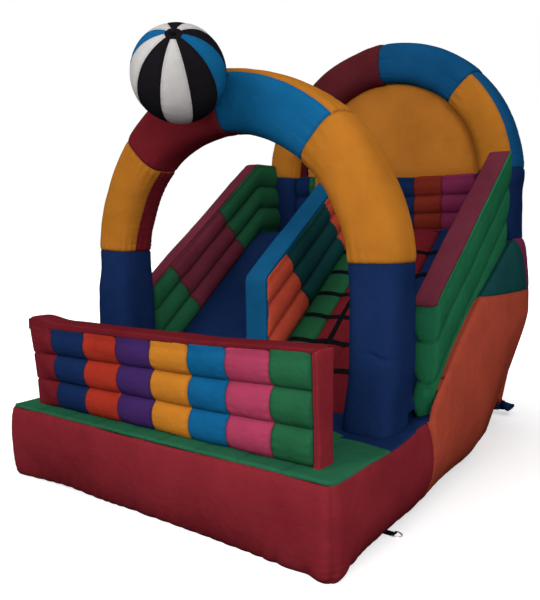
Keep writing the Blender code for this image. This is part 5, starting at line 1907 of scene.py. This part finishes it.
class Divider(Part):
    """The wall between the lanes, under a strip that also runs down its front."""

    REAR_ORANGE_Y = 2.00

    def lift(self, y: Values) -> Values:
        """How far the top stands above its straight line, less towards the rear."""
        return 0.036 - 0.078 * np.clip((y - WALL_FRONT_Y) / (RAMP_TOP_Y - WALL_FRONT_Y), 0, 1)

    def build(self) -> None:
        """Make the divider's tubes and its strip."""
        foot = float(ramp(WALL_FRONT_Y) - seat(WALL_FRONT_Y)) - 0.01
        top = DIVIDER_HEIGHT - WALL_CAP
        stack = TubeStack(foot, top, WALL_TUBES, DIVIDER_THICKNESS - 0.02, WALL_BULGE)
        _, height, _ = stack.columns()
        lean = (height - DIVIDER_HEIGHT) * math.sin(SLOPE_ANGLE) * math.cos(SLOPE_ANGLE)
        front = WALL_FRONT_Y + WALL_CAP * 0.6
        joint = DIVIDER_JOINT_Y - lean
        rear = RAMP_TOP_Y - 0.002
        # The divider's orange is the lighter copy of the rust orange: painted light.
        stretches = (
            ("divider_tubes_orange", "divider_orange", Tint.LIT_RUST, front, joint, 0.0, 340),
            ("divider_tubes_teal", "divider_teal", Tint.TEAL, joint, rear, 0.05, 350),
        )
        for name, node, tint, first, last, rounding, seed in stretches:
            across, along, height = stack.swept(first, last, 0.0, rounding)
            height = foot + (height - foot) * (1 + self.lift(along) / (top - foot))
            points = np.stack([DIVIDER_X + across, along, seat(along) + height], axis=-1)
            sheet = stack.sheet(points, True, not rounding, seed)
            if node == "divider_teal":
                place = points[:-1, :, 1] + lean[None]
                sheet.tint = ((place > self.REAR_ORANGE_Y) & (place < self.REAR_ORANGE_Y + 0.24)).astype(int)
            self.padded(sheet, name, node, 0.9, tint, Tint.LIT_RUST)

        half = WALL_CAP / 2
        corner = float(seat(WALL_FRONT_Y) + self.lift(WALL_FRONT_Y)) + DIVIDER_HEIGHT - half
        rear_top = float(seat(rear) + self.lift(rear)) + DIVIDER_HEIGHT - half
        corners = ((WALL_FRONT_Y + half, DECK_HEIGHT + 0.10), (WALL_FRONT_Y + half, corner), (rear, rear_top))
        path = rounded_path(corners, 0.035, 0.009)
        path[:, 0] = DIVIDER_X
        strip = Strip(DIVIDER_THICKNESS - 0.02 + 1.25 * WALL_BULGE, WALL_CAP + 0.008, 6.0)
        sheet = Sheet(strip.along(path, (1, 0, 0), (0.0, 0.01)))
        sheet.undulate(0.22, 0.004, 360)
        sheet.side_seams(strip.columns, DIVIDER_CAP_EDGES.numbered(363))
        # The strip takes the darker sky blue, as painted shade.
        self.padded(sheet, "divider_strip", "divider_cap", 0.8, Tint.SHADED_SKY_TOP)


class Lanes(Part):
    """The slide lane, the climbing tubes, the webbing ladder and the platform."""

    def pad(
        self, name: str, node: str, tint: Tint, left: float, right: float, tubes: int, crown: float, seed: int
    ) -> None:
        """Make one lane's pad.

        Args:
            name: Its name.
            node: The CAD node that it stands for.
            tint: Its colour.
            left: Left edge.
            right: Right edge.
            tubes: Number of tubes side by side.
            crown: How far their middles stand up.
            seed: Number that varies the folds.
        """
        pad = TopPad(left, right, tubes, crown, 0.02, 0.08, 22 if tubes > 1 or crown > 0.02 else 70)
        first, last = RAMP_FOOT_Y - 0.012, RAMP_TOP_Y + 0.06
        points = pad.points(first, last, lambda y: ramp(y) + 0.006, ends=(True, False))
        outermost = smooth((points[..., 0] - 1.0) / 0.17) * (1 - smooth((points[..., 1] - 1.16) / 0.12))
        points[..., 0] -= 0.07 * outermost
        sheet = pad.sheet(points, LANE_TIES, seed, 0.006)
        self.padded(sheet, name, node, 0.9, tint)

    def build(self) -> None:
        """Make the lanes and the platform."""
        edge = WALL_INNER_X + 0.01
        left = DIVIDER_X - DIVIDER_THICKNESS / 2
        right = DIVIDER_X + DIVIDER_THICKNESS / 2
        self.pad("slide_lane_top", "slide_lane", Tint.NAVY, -edge, left + 0.03, 1, 0.010, 400)
        # The crimson climbing tubes take the darker crimson, as painted shade.
        parts = (
            ("tube_green", Tint.GREEN, right - 0.03, GREEN_TUBE_EDGE, 1),
            ("tubes_crimson", Tint.CRIMSON_DEEP_AND_SHADED, GREEN_TUBE_EDGE, CRIMSON_TUBE_EDGE, 2),
            ("tubes_navy", Tint.NAVY, CRIMSON_TUBE_EDGE, edge, 2),
        )
        for index, (part, tint, low, high, tubes) in enumerate(parts):
            seed = 410 + 11 * index
            self.pad(f"climbing_{part}", f"climb_{part}", tint, low, high, tubes, TUBE_CROWN, seed)
        pad = TopPad(-edge, edge, 1, 0.012, 0.02, 0.08, 160)
        points = pad.points(RAMP_TOP_Y, BACK_WALL_Y + 0.02, lambda y: ramp(y) + 0.004, ends=(False, False))
        sheet = pad.sheet(points, LEVEL_TIES, 450)
        middle = (sheet.points[:-1, :, 0] + np.roll(sheet.points[:-1, :, 0], -1, axis=1)) / 2
        # The platform's crimson strip takes the darker crimson, as painted shade.
        sheet.tint = ((middle > GREEN_TUBE_EDGE) & (middle < CRIMSON_TUBE_EDGE)).astype(int)
        self.padded(sheet, "platform_top", "platform", 0.9, Tint.NAVY, Tint.CRIMSON_DEEP_AND_SHADED)
        core = TopPad(-0.79, 0.79, 6, 0.03, 0.02, 0.3, 10)
        points = core.points(BED_LENGTH + 0.012, TOWER_SPLIT_Y - 0.012, lambda y: ramp(y) - 0.11, step=0.03)
        points[:, -2:, 2] = 0.01
        sheet = core.sheet(points, LEVEL_TIES, 460)
        self.padded(sheet, "ramp_baffles", "ramp_core", 0.9, Tint.NAVY)


class BackWall(Part):
    """The low wall of tubes behind the platform, and the padded disc above it."""

    THICKNESS = 0.12
    DISC_RINGS = 61
    DISC_POWER = 0.45

    def build(self) -> None:
        """Make the wall's colour panels and the disc."""
        foot = PLATFORM_HEIGHT - 0.01
        size = (BACK_WALL_TOP, BACK_WALL_TUBES, self.THICKNESS, BACK_WALL_BULGE)
        stack = TubeStack(foot, *size, foot - 0.01)
        reach = BACK_ARCH_RADIUS - ARCH_HALF_SECTION + 0.02
        edges = (-reach,) + BACK_WALL_PATCH + BACK_WALL_JOINTS + (reach,)
        # The back wall's orange column is the darker copy of the rust orange: painted shade.
        parts = (
            ("back_wall_tubes_left", None, Tint.NAVY),
            ("back_wall_tubes_green", None, Tint.GREEN),
            ("back_wall_tubes_yellow", None, Tint.YELLOW),
            ("back_wall_tubes_navy", "back_wall_navy", Tint.NAVY),
            ("back_wall_tubes_orange", "back_wall_orange", Tint.SHADED_RUST),
            ("back_wall_tubes_purple", "back_wall_purple", Tint.MAGENTA),
        )
        for index, ((name, node, tint), left, right) in enumerate(zip(parts, edges, edges[1:])):
            across, along, height = stack.swept(left, right, step=0.009)
            rise = np.clip(-0.018 - 0.063 * along, -0.038, 0.030) / (BACK_WALL_TOP - PLATFORM_HEIGHT)
            height = PLATFORM_HEIGHT + (height - PLATFORM_HEIGHT) * (1 + rise)
            points = np.stack([along, BACK_WALL_Y + 0.06 - across, height], axis=-1)
            self.padded(stack.sheet(points, True, True, 460 + 7 * index), name, node, 0.9, tint)
        self.disc()

    def disc(self) -> None:
        """Make the padded disc that fills the arch above the wall."""
        radius = BACK_ARCH_RADIUS - ARCH_HALF_SECTION + 0.015
        foot = BACK_WALL_TOP - 0.065 - BACK_ARCH_SPRING
        turn = np.linspace(math.asin(foot / radius), math.pi - math.asin(foot / radius), 150)
        arc = np.stack([radius * np.cos(turn), radius * np.sin(turn)], axis=-1)
        base = evenly(arc[-1, 0], arc[0, 0], 0.02)
        base = np.stack([base, 0 * base + foot], axis=-1)
        outline = np.concatenate([arc, base[1:-1]])
        middle = np.array([0.0, radius * 0.42])
        rings = []
        depth = BACKDROP_THICKNESS / 2
        plane = BACKDROP_Y + depth
        for angle in np.linspace(-math.pi / 2, math.pi / 2, self.DISC_RINGS):
            share = math.cos(angle) ** self.DISC_POWER * 0.999 + 0.001
            y = plane + (depth + BACKDROP_CROWN) * math.sin(angle)
            placed = middle + (outline - middle) * share
            x, z = placed[:, 0], BACK_ARCH_SPRING + placed[:, 1]
            rings.append(np.stack([x, y + 0 * x, z], axis=-1))
        sheet = Sheet(rings)
        sheet.undulate(0.40, 0.006, 480)
        around = np.repeat(sheet.lengths[1][self.DISC_RINGS // 2:self.DISC_RINGS // 2 + 1], len(rings), axis=0)
        rim = np.linalg.norm((outline - middle), axis=1)[None]
        distance = rim - np.linalg.norm(
            sheet.points[..., [0, 2]] - np.array([0.0, BACK_ARCH_SPRING]) - middle, axis=2
        )
        distance = np.clip(distance, 0, None)
        sheet.swell(DISC_RIM.numbered(485).lift(around, distance))
        self.padded(sheet, "backdrop_pad", "backdrop", 0.8, Tint.OCHRE)


class Ball(Part):
    """A plain ball of sewn gores in front of the arch's crown, on a short collar."""

    GORES = 10
    PER_GORE = 12
    RINGS = 96
    POLE_PATCH = 0.06
    AXIS = Vector((0.50, -0.62, 0.60))

    def build(self) -> None:
        """Make the ball and its collar."""
        seat_y = FRONT_ARCH_Y - ARCH_HALF_SECTION
        first = math.asin(BALL_COLLAR_RADIUS / BALL_RADIUS)
        centre = np.array([0.0, seat_y - BALL_COLLAR - BALL_RADIUS * math.cos(first), BALL_Z])
        turn = self.AXIS.normalized().to_track_quat("Z", "Y").to_matrix()
        polar = np.linspace(0.015, math.pi - 0.015, self.RINGS)[:, None]
        around = np.linspace(0, 2 * math.pi, self.GORES * self.PER_GORE, endpoint=False)[None]
        out = np.sin(polar)
        local = np.stack([out * np.cos(around), out * np.sin(around), np.cos(polar) + 0 * around], axis=-1)
        sheet = Sheet(centre + BALL_RADIUS * local @ np.array(turn).T)
        arc = polar * BALL_RADIUS + 0 * around
        for gore in range(self.GORES):
            off = np.abs((around - 2 * math.pi * gore / self.GORES + math.pi) % (2 * math.pi) - math.pi)
            sheet.gather(GORE_SEAMS.numbered(500 + gore), arc, off * out * BALL_RADIUS)
        sheet.undulate(0.12, 0.003, 511)
        gore = np.arange(self.GORES * self.PER_GORE) // self.PER_GORE
        number = np.where(gore % 5 == 4, 2, gore % 2)
        sheet.tint = np.repeat(number[None], len(polar) - 1, axis=0)
        cap = polar[1:, 0] * BALL_RADIUS
        ends = (cap < self.POLE_PATCH) | (cap > math.pi * BALL_RADIUS - self.POLE_PATCH)
        sheet.tint[ends] = 0
        self.padded(sheet, "ball_gores", "arch_ball", 1.0, Tint.BLACK, Tint.WHITE, Tint.SKY)

        y = evenly(seat_y + 0.012, centre[1] + BALL_RADIUS * 0.80, 0.006)
        angle = np.linspace(0, 2 * math.pi, 64, endpoint=False)
        size = BALL_COLLAR_RADIUS * (1 + 0.10 * np.abs(np.linspace(1, -0.4, len(y))))
        rings = []
        for place, radius in zip(y, size):
            ring = [radius * np.cos(angle), place + 0 * angle, BALL_Z + radius * np.sin(angle)]
            rings.append(np.stack(ring, axis=-1))
        sheet = Sheet(rings)
        sheet.end_seams(COLLAR_ENDS.numbered(515))
        self.padded(sheet, "ball_collar", None, 0.9, Tint.BLACK)


class Webbing:
    """Flat straps: the climbing ladder and the anchors' folded tabs."""

    TAB_LENGTH = 0.060
    TAB_WIDTH = 0.050
    THICKNESS = 0.0025
    STRAP_THICKNESS = 0.004
    EYE_RADIUS = 0.00575

    def __init__(self, material: Material) -> None:
        """Take the strap's finish."""
        self.material = material

    def crown_at(self, x: Values) -> Array:
        """Depth of the climbing tubes' surface below their crowns at x.

        Args:
            x: Places across the lane.

        Returns:
            The depth at each of them.
        """
        right = DIVIDER_X + DIVIDER_THICKNESS / 2
        edges = (right - 0.03, GREEN_TUBE_EDGE, (GREEN_TUBE_EDGE + CRIMSON_TUBE_EDGE) / 2, CRIMSON_TUBE_EDGE)
        middle = (CRIMSON_TUBE_EDGE + WALL_INNER_X + 0.01) / 2
        edges += (middle, WALL_INNER_X + 0.01)
        depth = 0 * x
        for low, high in zip(edges, edges[1:]):
            share = np.clip((x - low) / (high - low), 0, 1)
            inside = (x >= low) & (x < high)
            depth = np.where(inside, TUBE_CROWN * (1 - tube_bulge(share)), depth)
        return depth

    def strap(self, name: str, path: Array, across: Sequence, width: float) -> bpy.types.Object:
        """One strap along a path.

        Args:
            name: Its name.
            path: Array of points along its middle.
            across: Direction of its width.
            width: Its width.

        Returns:
            The new object.
        """
        strip = Strip(width, self.STRAP_THICKNESS, 6.0, 28)
        sheet = Sheet(strip.along(path, across))
        sheet.undulate(0.08, 0.0012, 520)
        return sheet.build(name, [self.material])

    def ladder(self) -> None:
        """Make the rungs and the two lengthwise straps."""
        left = DIVIDER_X + DIVIDER_THICKNESS / 2 + NET_INSET - 0.03
        right = WALL_INNER_X - 0.09
        x = evenly(left, right, 0.010)
        along = np.array([0.0, math.cos(SLOPE_ANGLE), math.sin(SLOPE_ANGLE)])
        up = np.array([0.0, -math.sin(SLOPE_ANGLE), math.cos(SLOPE_ANGLE)])
        sag = np.minimum(self.crown_at(x), 0.014)
        pieces = []
        for index in range(RUNGS):
            y = FIRST_RUNG_Y + index * RUNG_PITCH
            wander = 0.010 * Waves(530 + index, 0.30).at(np.stack([x, 0 * x + y, 0 * x], axis=-1))
            path = np.stack([x, y + 0 * x, ramp(y) + 0 * x], axis=-1) + along * wander[:, None]
            path = path + up * (0.010 - sag)[:, None]
            pieces.append(self.strap(f"ladder_rung_{index + 1}", path, along, STRAP_WIDTH))
        y = evenly(FIRST_RUNG_Y - RAIL_OVERHANG, FIRST_RUNG_Y + (RUNGS - 1) * RUNG_PITCH + RAIL_OVERHANG, 0.010)
        for number, rail_x in enumerate(RAIL_X):
            wander = 0.008 * Waves(540 + number, 0.22).at(np.stack([0 * y + rail_x, y, 0 * y], axis=-1))
            bow = 0.012 * np.abs(np.sin((y - FIRST_RUNG_Y) / RUNG_PITCH * math.pi))
            height = ramp(y) + 0.013 - min(float(self.crown_at(np.array([rail_x]))[0]), 0.012) - bow * 0.5
            path = np.stack([rail_x + wander, y, height], axis=-1)
            pieces.append(self.strap(f"ladder_rail_{number + 1}", path, (1, 0, 0), STRAP_WIDTH))
        for piece in pieces:
            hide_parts("climbing_net")

    def tab(self, place: str, side: str, sign: int) -> None:
        """Make one folded tab at the foot of the side.

        Args:
            place: front or rear.
            side: left or right.
            sign: -1 or 1.
        """
        node = f"anchor_tab_{place}_{side}"
        low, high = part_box(node)
        layer = self.THICKNESS / 2
        outermost = max(abs(low[0]), abs(high[0]))
        eye = outermost - self.EYE_RADIUS - layer
        middle = (low[1] + high[1]) / 2 - BED_FRONT
        upper = layer + self.THICKNESS + 0.0006
        eye_z = layer + self.EYE_RADIUS
        path = [(x, layer) for x in evenly(eye - self.TAB_LENGTH, eye - self.EYE_RADIUS, 0.004)]
        for angle in np.radians(np.arange(-90, 145, 15)):
            path.append((eye + self.EYE_RADIUS * math.cos(angle), eye_z + self.EYE_RADIUS * math.sin(angle)))
        path += [(x, upper) for x in evenly(path[-1][0] - (path[-1][1] - upper), eye - self.TAB_LENGTH, 0.004)]
        points = np.array([(sign * x, middle, z) for x, z in path])
        strip = Strip(self.TAB_WIDTH - 0.001, self.THICKNESS, 7.0, 36)
        sheet = Sheet(strip.along(points, (0, 1, 0)))
        made = sheet.build(f"folded_{node}", [self.material])
        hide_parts(node)

    def build(self) -> None:
        """Make every strap."""
        self.ladder()
        for place in ("front", "rear"):
            for side, sign in (("left", -1), ("right", 1)):
                self.tab(place, side, sign)


class RearFittings(Part):
    """The inflation sleeve, the deflation zip and the anchors' rings."""

    TAPE_THICKNESS = 0.0015
    TOOTH_PITCH = 0.005
    TOOTH_OFFSET = 0.0010
    TOOTH_HEIGHT = 0.0038
    PLEATS = 13
    EASINGS = 6
    RINGS = 72

    def sleeve(self, webbing: Material) -> None:
        """Make the tied sleeve.

        Args:
            webbing: The tie's finish.
        """
        start = REAR_Y - 0.02
        knots = np.array([
            (0.00, 0.000, 1.00, SLEEVE_RADIUS, SLEEVE_RADIUS, 90),
            (0.02, 0.070, 0.92, SLEEVE_RADIUS, SLEEVE_RADIUS, 70),
            (0.09, 0.110, 0.66, SLEEVE_RADIUS * 1.05, SLEEVE_RADIUS * 1.05, 40),
            (0.20, 0.125, 0.42, SLEEVE_RADIUS * 1.15, SLEEVE_RADIUS * 1.15, 12),
            (0.29, 0.130, 0.34, SLEEVE_RADIUS * 0.80, SLEEVE_RADIUS * 0.80, 0),
            (0.34, 0.132, 0.28, SLEEVE_NECK, SLEEVE_NECK, 0),
            (0.41, 0.130, 0.22, SLEEVE_MOUTH, SLEEVE_NECK * 0.7, 0),
        ])
        share = np.linspace(0, len(knots) - 1, self.RINGS)
        values = np.stack([np.interp(share, np.arange(len(knots)), knots[:, k]) for k in range(6)], axis=-1)
        kernel = np.array([0.25, 0.5, 0.25])
        for _ in range(self.EASINGS):
            inner = sum(weight * values[index:len(values) - 2 + index] for index, weight in enumerate(kernel))
            values[1:-1] = inner
        around = np.linspace(0, 2 * math.pi, self.RINGS, endpoint=False)
        gather = np.exp(-((share - 5.0) / 0.9) ** 2)
        rings = []
        for (right, back, rise, wide, tall, heading), fold in zip(values, gather):
            turn = math.radians(heading)
            pleat = 1 + (0.05 + 0.16 * fold) * np.cos(self.PLEATS * around + 2.0 * math.sin(right * 20))
            across = wide * np.cos(around) * pleat
            x = SLEEVE_X + right + across * math.sin(turn)
            y = start + back - across * math.cos(turn)
            rings.append(np.stack([x, y, SLEEVE_Z * rise + tall * np.sin(around) * pleat], axis=-1))
        sheet = Sheet(rings)
        sheet.undulate(0.06, 0.004, 560)
        self.padded(sheet, "sleeve_fabric", "inflation_sleeve", 0.5, Tint.NAVY)
        right, back, rise, _, _, _ = knots[5]
        turn = np.linspace(0, 2 * math.pi, 40)
        radius = SLEEVE_NECK * 1.35
        strip = Strip(0.020, 0.003, 6.0, 20)
        behind = start + back + radius * np.cos(turn)
        path = np.stack([SLEEVE_X + right + 0 * turn, behind, SLEEVE_Z * rise + radius * np.sin(turn)], axis=-1)
        tangent = np.gradient(path, axis=0)
        tangent /= np.linalg.norm(tangent, axis=1, keepdims=True)
        out = np.cross(tangent, np.array([1.0, 0.0, 0.0]))
        wide, thick = strip.section()
        points = path[:, None] + wide[None, :, None] * np.array([1.0, 0, 0])
        points = points + thick[None, :, None] * out[:, None]
        Sheet(points).build("sleeve_tie", [webbing])

    def zip(self, finish: Material) -> None:
        """Make the zip's tape and its two rows of teeth.

        Args:
            finish: Their finish.
        """
        low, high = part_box("zip_strip")
        middle = (low[2] + high[2]) / 2
        strip = Strip(high[2] - low[2], self.TAPE_THICKNESS, 8.0, 28)
        x = evenly(low[0] + 0.0005, high[0] - 0.0005, 0.01)
        path = np.stack([x, 0 * x + low[1] + self.TAPE_THICKNESS / 2 - BED_FRONT, 0 * x + middle], axis=-1)
        tape = Sheet(strip.along(path, (0, 0, 1))).build("zip_tape", [finish])
        bm = bmesh.new()
        depth = high[1] - low[1] - self.TAPE_THICKNESS
        for index in range(1, int((high[0] - low[0]) / self.TOOTH_PITCH)):
            side = self.TOOTH_OFFSET if index % 2 else -self.TOOTH_OFFSET
            place = (low[0] + index * self.TOOTH_PITCH, high[1] - depth / 2, middle + side)
            shape = Matrix.Diagonal((self.TOOTH_PITCH * 0.58, depth, self.TOOTH_HEIGHT, 1.0))
            bmesh.ops.create_cube(bm, size=1.0, matrix=Matrix.Translation(place) @ shape)
        mesh = as_mesh("zip_teeth", bm)
        mesh.materials.append(finish)
        teeth = linked("zip_teeth", mesh)
        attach(teeth, BODY)
        for piece in (tape, teeth):
            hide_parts("zip_strip")

    def build(self, webbing: Material, steel: Material) -> None:
        """Make the sleeve, and finish the zip and the rings.

        Args:
            webbing: The finish of the tie and of the zip's tape.
            steel: The rings' and slider's finish.
        """
        self.sleeve(webbing)
        for place in ("front", "rear"):
            for side in ("left", "right"):
                finish_node(f"d_ring_{place}_{side}", steel)
        finish_node("zip_slider", steel)
        self.zip(webbing)


def finish_node(node: str, material: Material) -> None:
    """Give a CAD node its finish.

    Args:
        node: Name of the node.
        material: The finish.
    """
    mesh = bpy.data.objects[node].data
    mesh.materials.clear()
    mesh.materials.append(material)


def strap_material() -> Material:
    """Black woven webbing with ribs along it.

    Returns:
        A new material.
    """
    material = bpy.data.materials.new("woven_webbing")
    tree = NodeTree(material)
    waves = {"Scale": 90.0, "Distortion": 0.6, "Vector": tree.place.outputs["Object"]}
    dust = tree.noise(26.0, 4.0, 0.5)
    tree.fill(material.node_tree.nodes["Principled BSDF"], {
        "Roughness": 0.78,
        "Specular IOR Level": 0.0,
        "Base Color": tree.ramp(dust, (0.0025, 0.0028, 0.0045), (0.010, 0.010, 0.012)),
        "Normal": tree.bump(tree.add("ShaderNodeTexWave", waves, "Fac"), 0.5, 0.0006),
    })
    return material


def steel_material() -> Material:
    """Plated steel with fine scratches.

    Returns:
        A new material.
    """
    material = bpy.data.materials.new("plated_steel")
    tree = NodeTree(material)
    scratch = tree.noise(240.0, 6.0, 0.5)
    tree.fill(material.node_tree.nodes["Principled BSDF"], {
        "Metallic": 1.0,
        "Base Color": tree.ramp(scratch, (0.32, 0.32, 0.33), (0.62, 0.62, 0.63)),
        "Roughness": tree.spread(scratch, 0.0, 1.0, 0.22, 0.48),
    })
    return material


class Studio:
    """Pale floor, soft light and the camera at the photograph's place."""

    SENSOR_WIDTH = 36.0
    FLOOR_RADIUS = 30.0
    FADE = (2.2, 5.0)

    CAMERA_PLACE = (2.9675, -4.2415, 1.6857)
    YAW = 0.6556
    PITCH = -0.1034
    ROLL = -0.0174
    FOCAL_LENGTH = 40.8

    def camera(self) -> None:
        """Stand the camera up."""
        data = bpy.data.cameras.new("camera")
        data.lens = self.FOCAL_LENGTH
        data.sensor_width = self.SENSOR_WIDTH
        data.clip_end = 200.0
        camera = linked("camera", data)
        forward = Vector((
            -math.sin(self.YAW) * math.cos(self.PITCH),
            math.cos(self.YAW) * math.cos(self.PITCH),
            math.sin(self.PITCH),
        ))
        right = Vector((math.cos(self.YAW), math.sin(self.YAW), 0.0))
        up = right.cross(forward)
        tilted_right = right * math.cos(self.ROLL) + up * math.sin(self.ROLL)
        tilted_up = up * math.cos(self.ROLL) - right * math.sin(self.ROLL)
        turn = Matrix((tilted_right, tilted_up, -forward)).transposed().to_4x4()
        camera.matrix_world = Matrix.Translation(self.CAMERA_PLACE) @ turn
        bpy.context.scene.camera = camera

    def light(self, name: str, place: tuple[float, float, float], size: float, power: float) -> None:
        """One large soft lamp aimed at the slide.

        Args:
            name: Its name.
            place: Where it hangs.
            size: Its side, in metres.
            power: Its power in watts.
        """
        data = bpy.data.lights.new(name, "AREA")
        data.shape = "SQUARE"
        data.size = size
        data.energy = power
        lamp = linked(name, data)
        lamp.location = place
        aim = Vector((0.0, -0.2, 1.0)) - Vector(place)
        lamp.rotation_euler = aim.to_track_quat("-Z", "Y").to_euler()

    def surroundings(self) -> None:
        """White surroundings with an even pale light."""
        world = bpy.data.worlds.new("studio_air")
        bpy.context.scene.world = world
        tree = NodeTree(world)
        nodes = world.node_tree.nodes
        height = tree.add("ShaderNodeSeparateXYZ", {"Vector": tree.place.outputs["Generated"]}, "Z")
        dim = nodes["Background"]
        tree.fill(dim, {"Color": (1.0, 1.0, 1.0, 1.0), "Strength": tree.spread(height, 0.0, 0.9, 0.14, 0.66)})
        white = tree.add("ShaderNodeBackground", {"Color": (1.0, 1.0, 1.0, 1.0), "Strength": 1.0}, 0)
        sockets = {0: tree.seen_rays(), 1: dim.outputs[0], 2: white}
        tree.fill(nodes["World Output"], {"Surface": tree.add("ShaderNodeMixShader", sockets, 0)})

    def floor(self) -> None:
        """A pale floor that keeps the slide's shadow and fades to white."""
        bm = bmesh.new()
        bmesh.ops.create_circle(bm, cap_ends=True, radius=self.FLOOR_RADIUS, segments=64)
        mesh = as_mesh("floor", bm)
        ground = linked("floor", mesh)
        material = bpy.data.materials.new("pale_floor")
        tree = NodeTree(material)
        nodes = material.node_tree.nodes
        shader = nodes["Principled BSDF"]
        grain = tree.add("ShaderNodeTexNoise", {"Scale": 3.0}, "Fac")
        tree.fill(shader, {"Roughness": 0.9, "Base Color": tree.ramp(grain, (0.86,) * 3, (0.92,) * 3)})
        away = tree.add("ShaderNodeVectorMath", {0: tree.place.outputs["Object"]})
        away.operation = "LENGTH"
        fade = tree.spread(away.outputs["Value"], *self.FADE, 0.42, 1.0)
        glow = tree.add("ShaderNodeEmission", {"Strength": fade}, 0)
        bright = tree.add("ShaderNodeAddShader", {0: shader.outputs[0], 1: glow}, 0)
        dull = tree.add("ShaderNodeBsdfDiffuse", {"Color": (0.14, 0.14, 0.14, 1.0)}, 0)
        mix = tree.add("ShaderNodeMixShader", {0: tree.seen_rays(), 1: dull, 2: bright}, 0)
        tree.fill(nodes["Material Output"], {"Surface": mix})
        mesh.materials.append(material)

    def build(self) -> None:
        """Set the studio up."""
        self.camera()
        self.surroundings()
        self.floor()
        self.light("key_light", (-1.8, -6.4, 4.4), 4.0, 200.0)
        self.light("fill_light", (5.4, -4.6, 2.9), 2.6, 225.0)
        self.light("top_light", (0.0, 0.5, 7.5), 5.0, 60.0)
        self.light("front_light", (2.2, -5.6, 2.4), 2.5, 45.0)
        bpy.context.scene.view_settings.view_transform = "Standard"


def main() -> None:
    """Dress the slide."""
    logging.basicConfig(level=logging.INFO, format="%(message)s")
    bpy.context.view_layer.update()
    Studio().build()
    finishes = Finishes()
    webbing = strap_material()
    LandingBed(finishes).build()
    Tower(finishes).build()
    Barrier(finishes).build()
    front = Arch(
        finishes,
        "front",
        FRONT_ARCH_Y,
        FRONT_ARCH_RADIUS,
        FRONT_ARCH_SPRING,
        DECK_HEIGHT - 0.004,
        inner=(Tint.YELLOW, Tint.CRIMSON_DEEP_AND_SHADED, Tint.CRIMSON_DEEP_AND_SHADED, Tint.CRIMSON_DEEP_AND_SHADED),
        outer=(Tint.YELLOW, Tint.YELLOW, Tint.CRIMSON_DEEP_AND_SHADED, Tint.YELLOW),
        leg_fold=0.48,
        swell=(0.020, -0.045),
        shift=(0.012, 0.014),
        turn_in=(-0.008, 0.047),
        leg_squareness=3.9,
        joints=(0.075, 0.012),
        uneven=1.0,
    )
    front.build()
    # The back arch takes darker copies of crimson and sky blue, as painted shade.
    back = Arch(
        finishes,
        "back",
        BACK_ARCH_Y,
        BACK_ARCH_RADIUS,
        BACK_ARCH_SPRING,
        SEAT_HEIGHT - 0.004,
        inner=(Tint.YELLOW, Tint.GREEN, Tint.SHADED_CRIMSON, Tint.SHADED_CRIMSON),
        outer=(Tint.SHADED_SKY_BACK, Tint.SHADED_SKY_BACK, Tint.SHADED_CRIMSON, Tint.YELLOW),
        shift=(-0.018, -0.018),
        swell=(-0.02, -0.02),
        leg_squareness=3.6,
        joints=(0.100, 0.045),
        lean=0.085,
        red=Tint.SHADED_CRIMSON,
        blue=Tint.SHADED_SKY_BACK,
    )
    back.build()
    SideWalls(finishes).build()
    Divider(finishes).build()
    Lanes(finishes).build()
    BackWall(finishes).build()
    Ball(finishes).build()
    Webbing(webbing).build()
    RearFittings(finishes).build(webbing, steel_material())


if __name__ == "__main__":
    main()
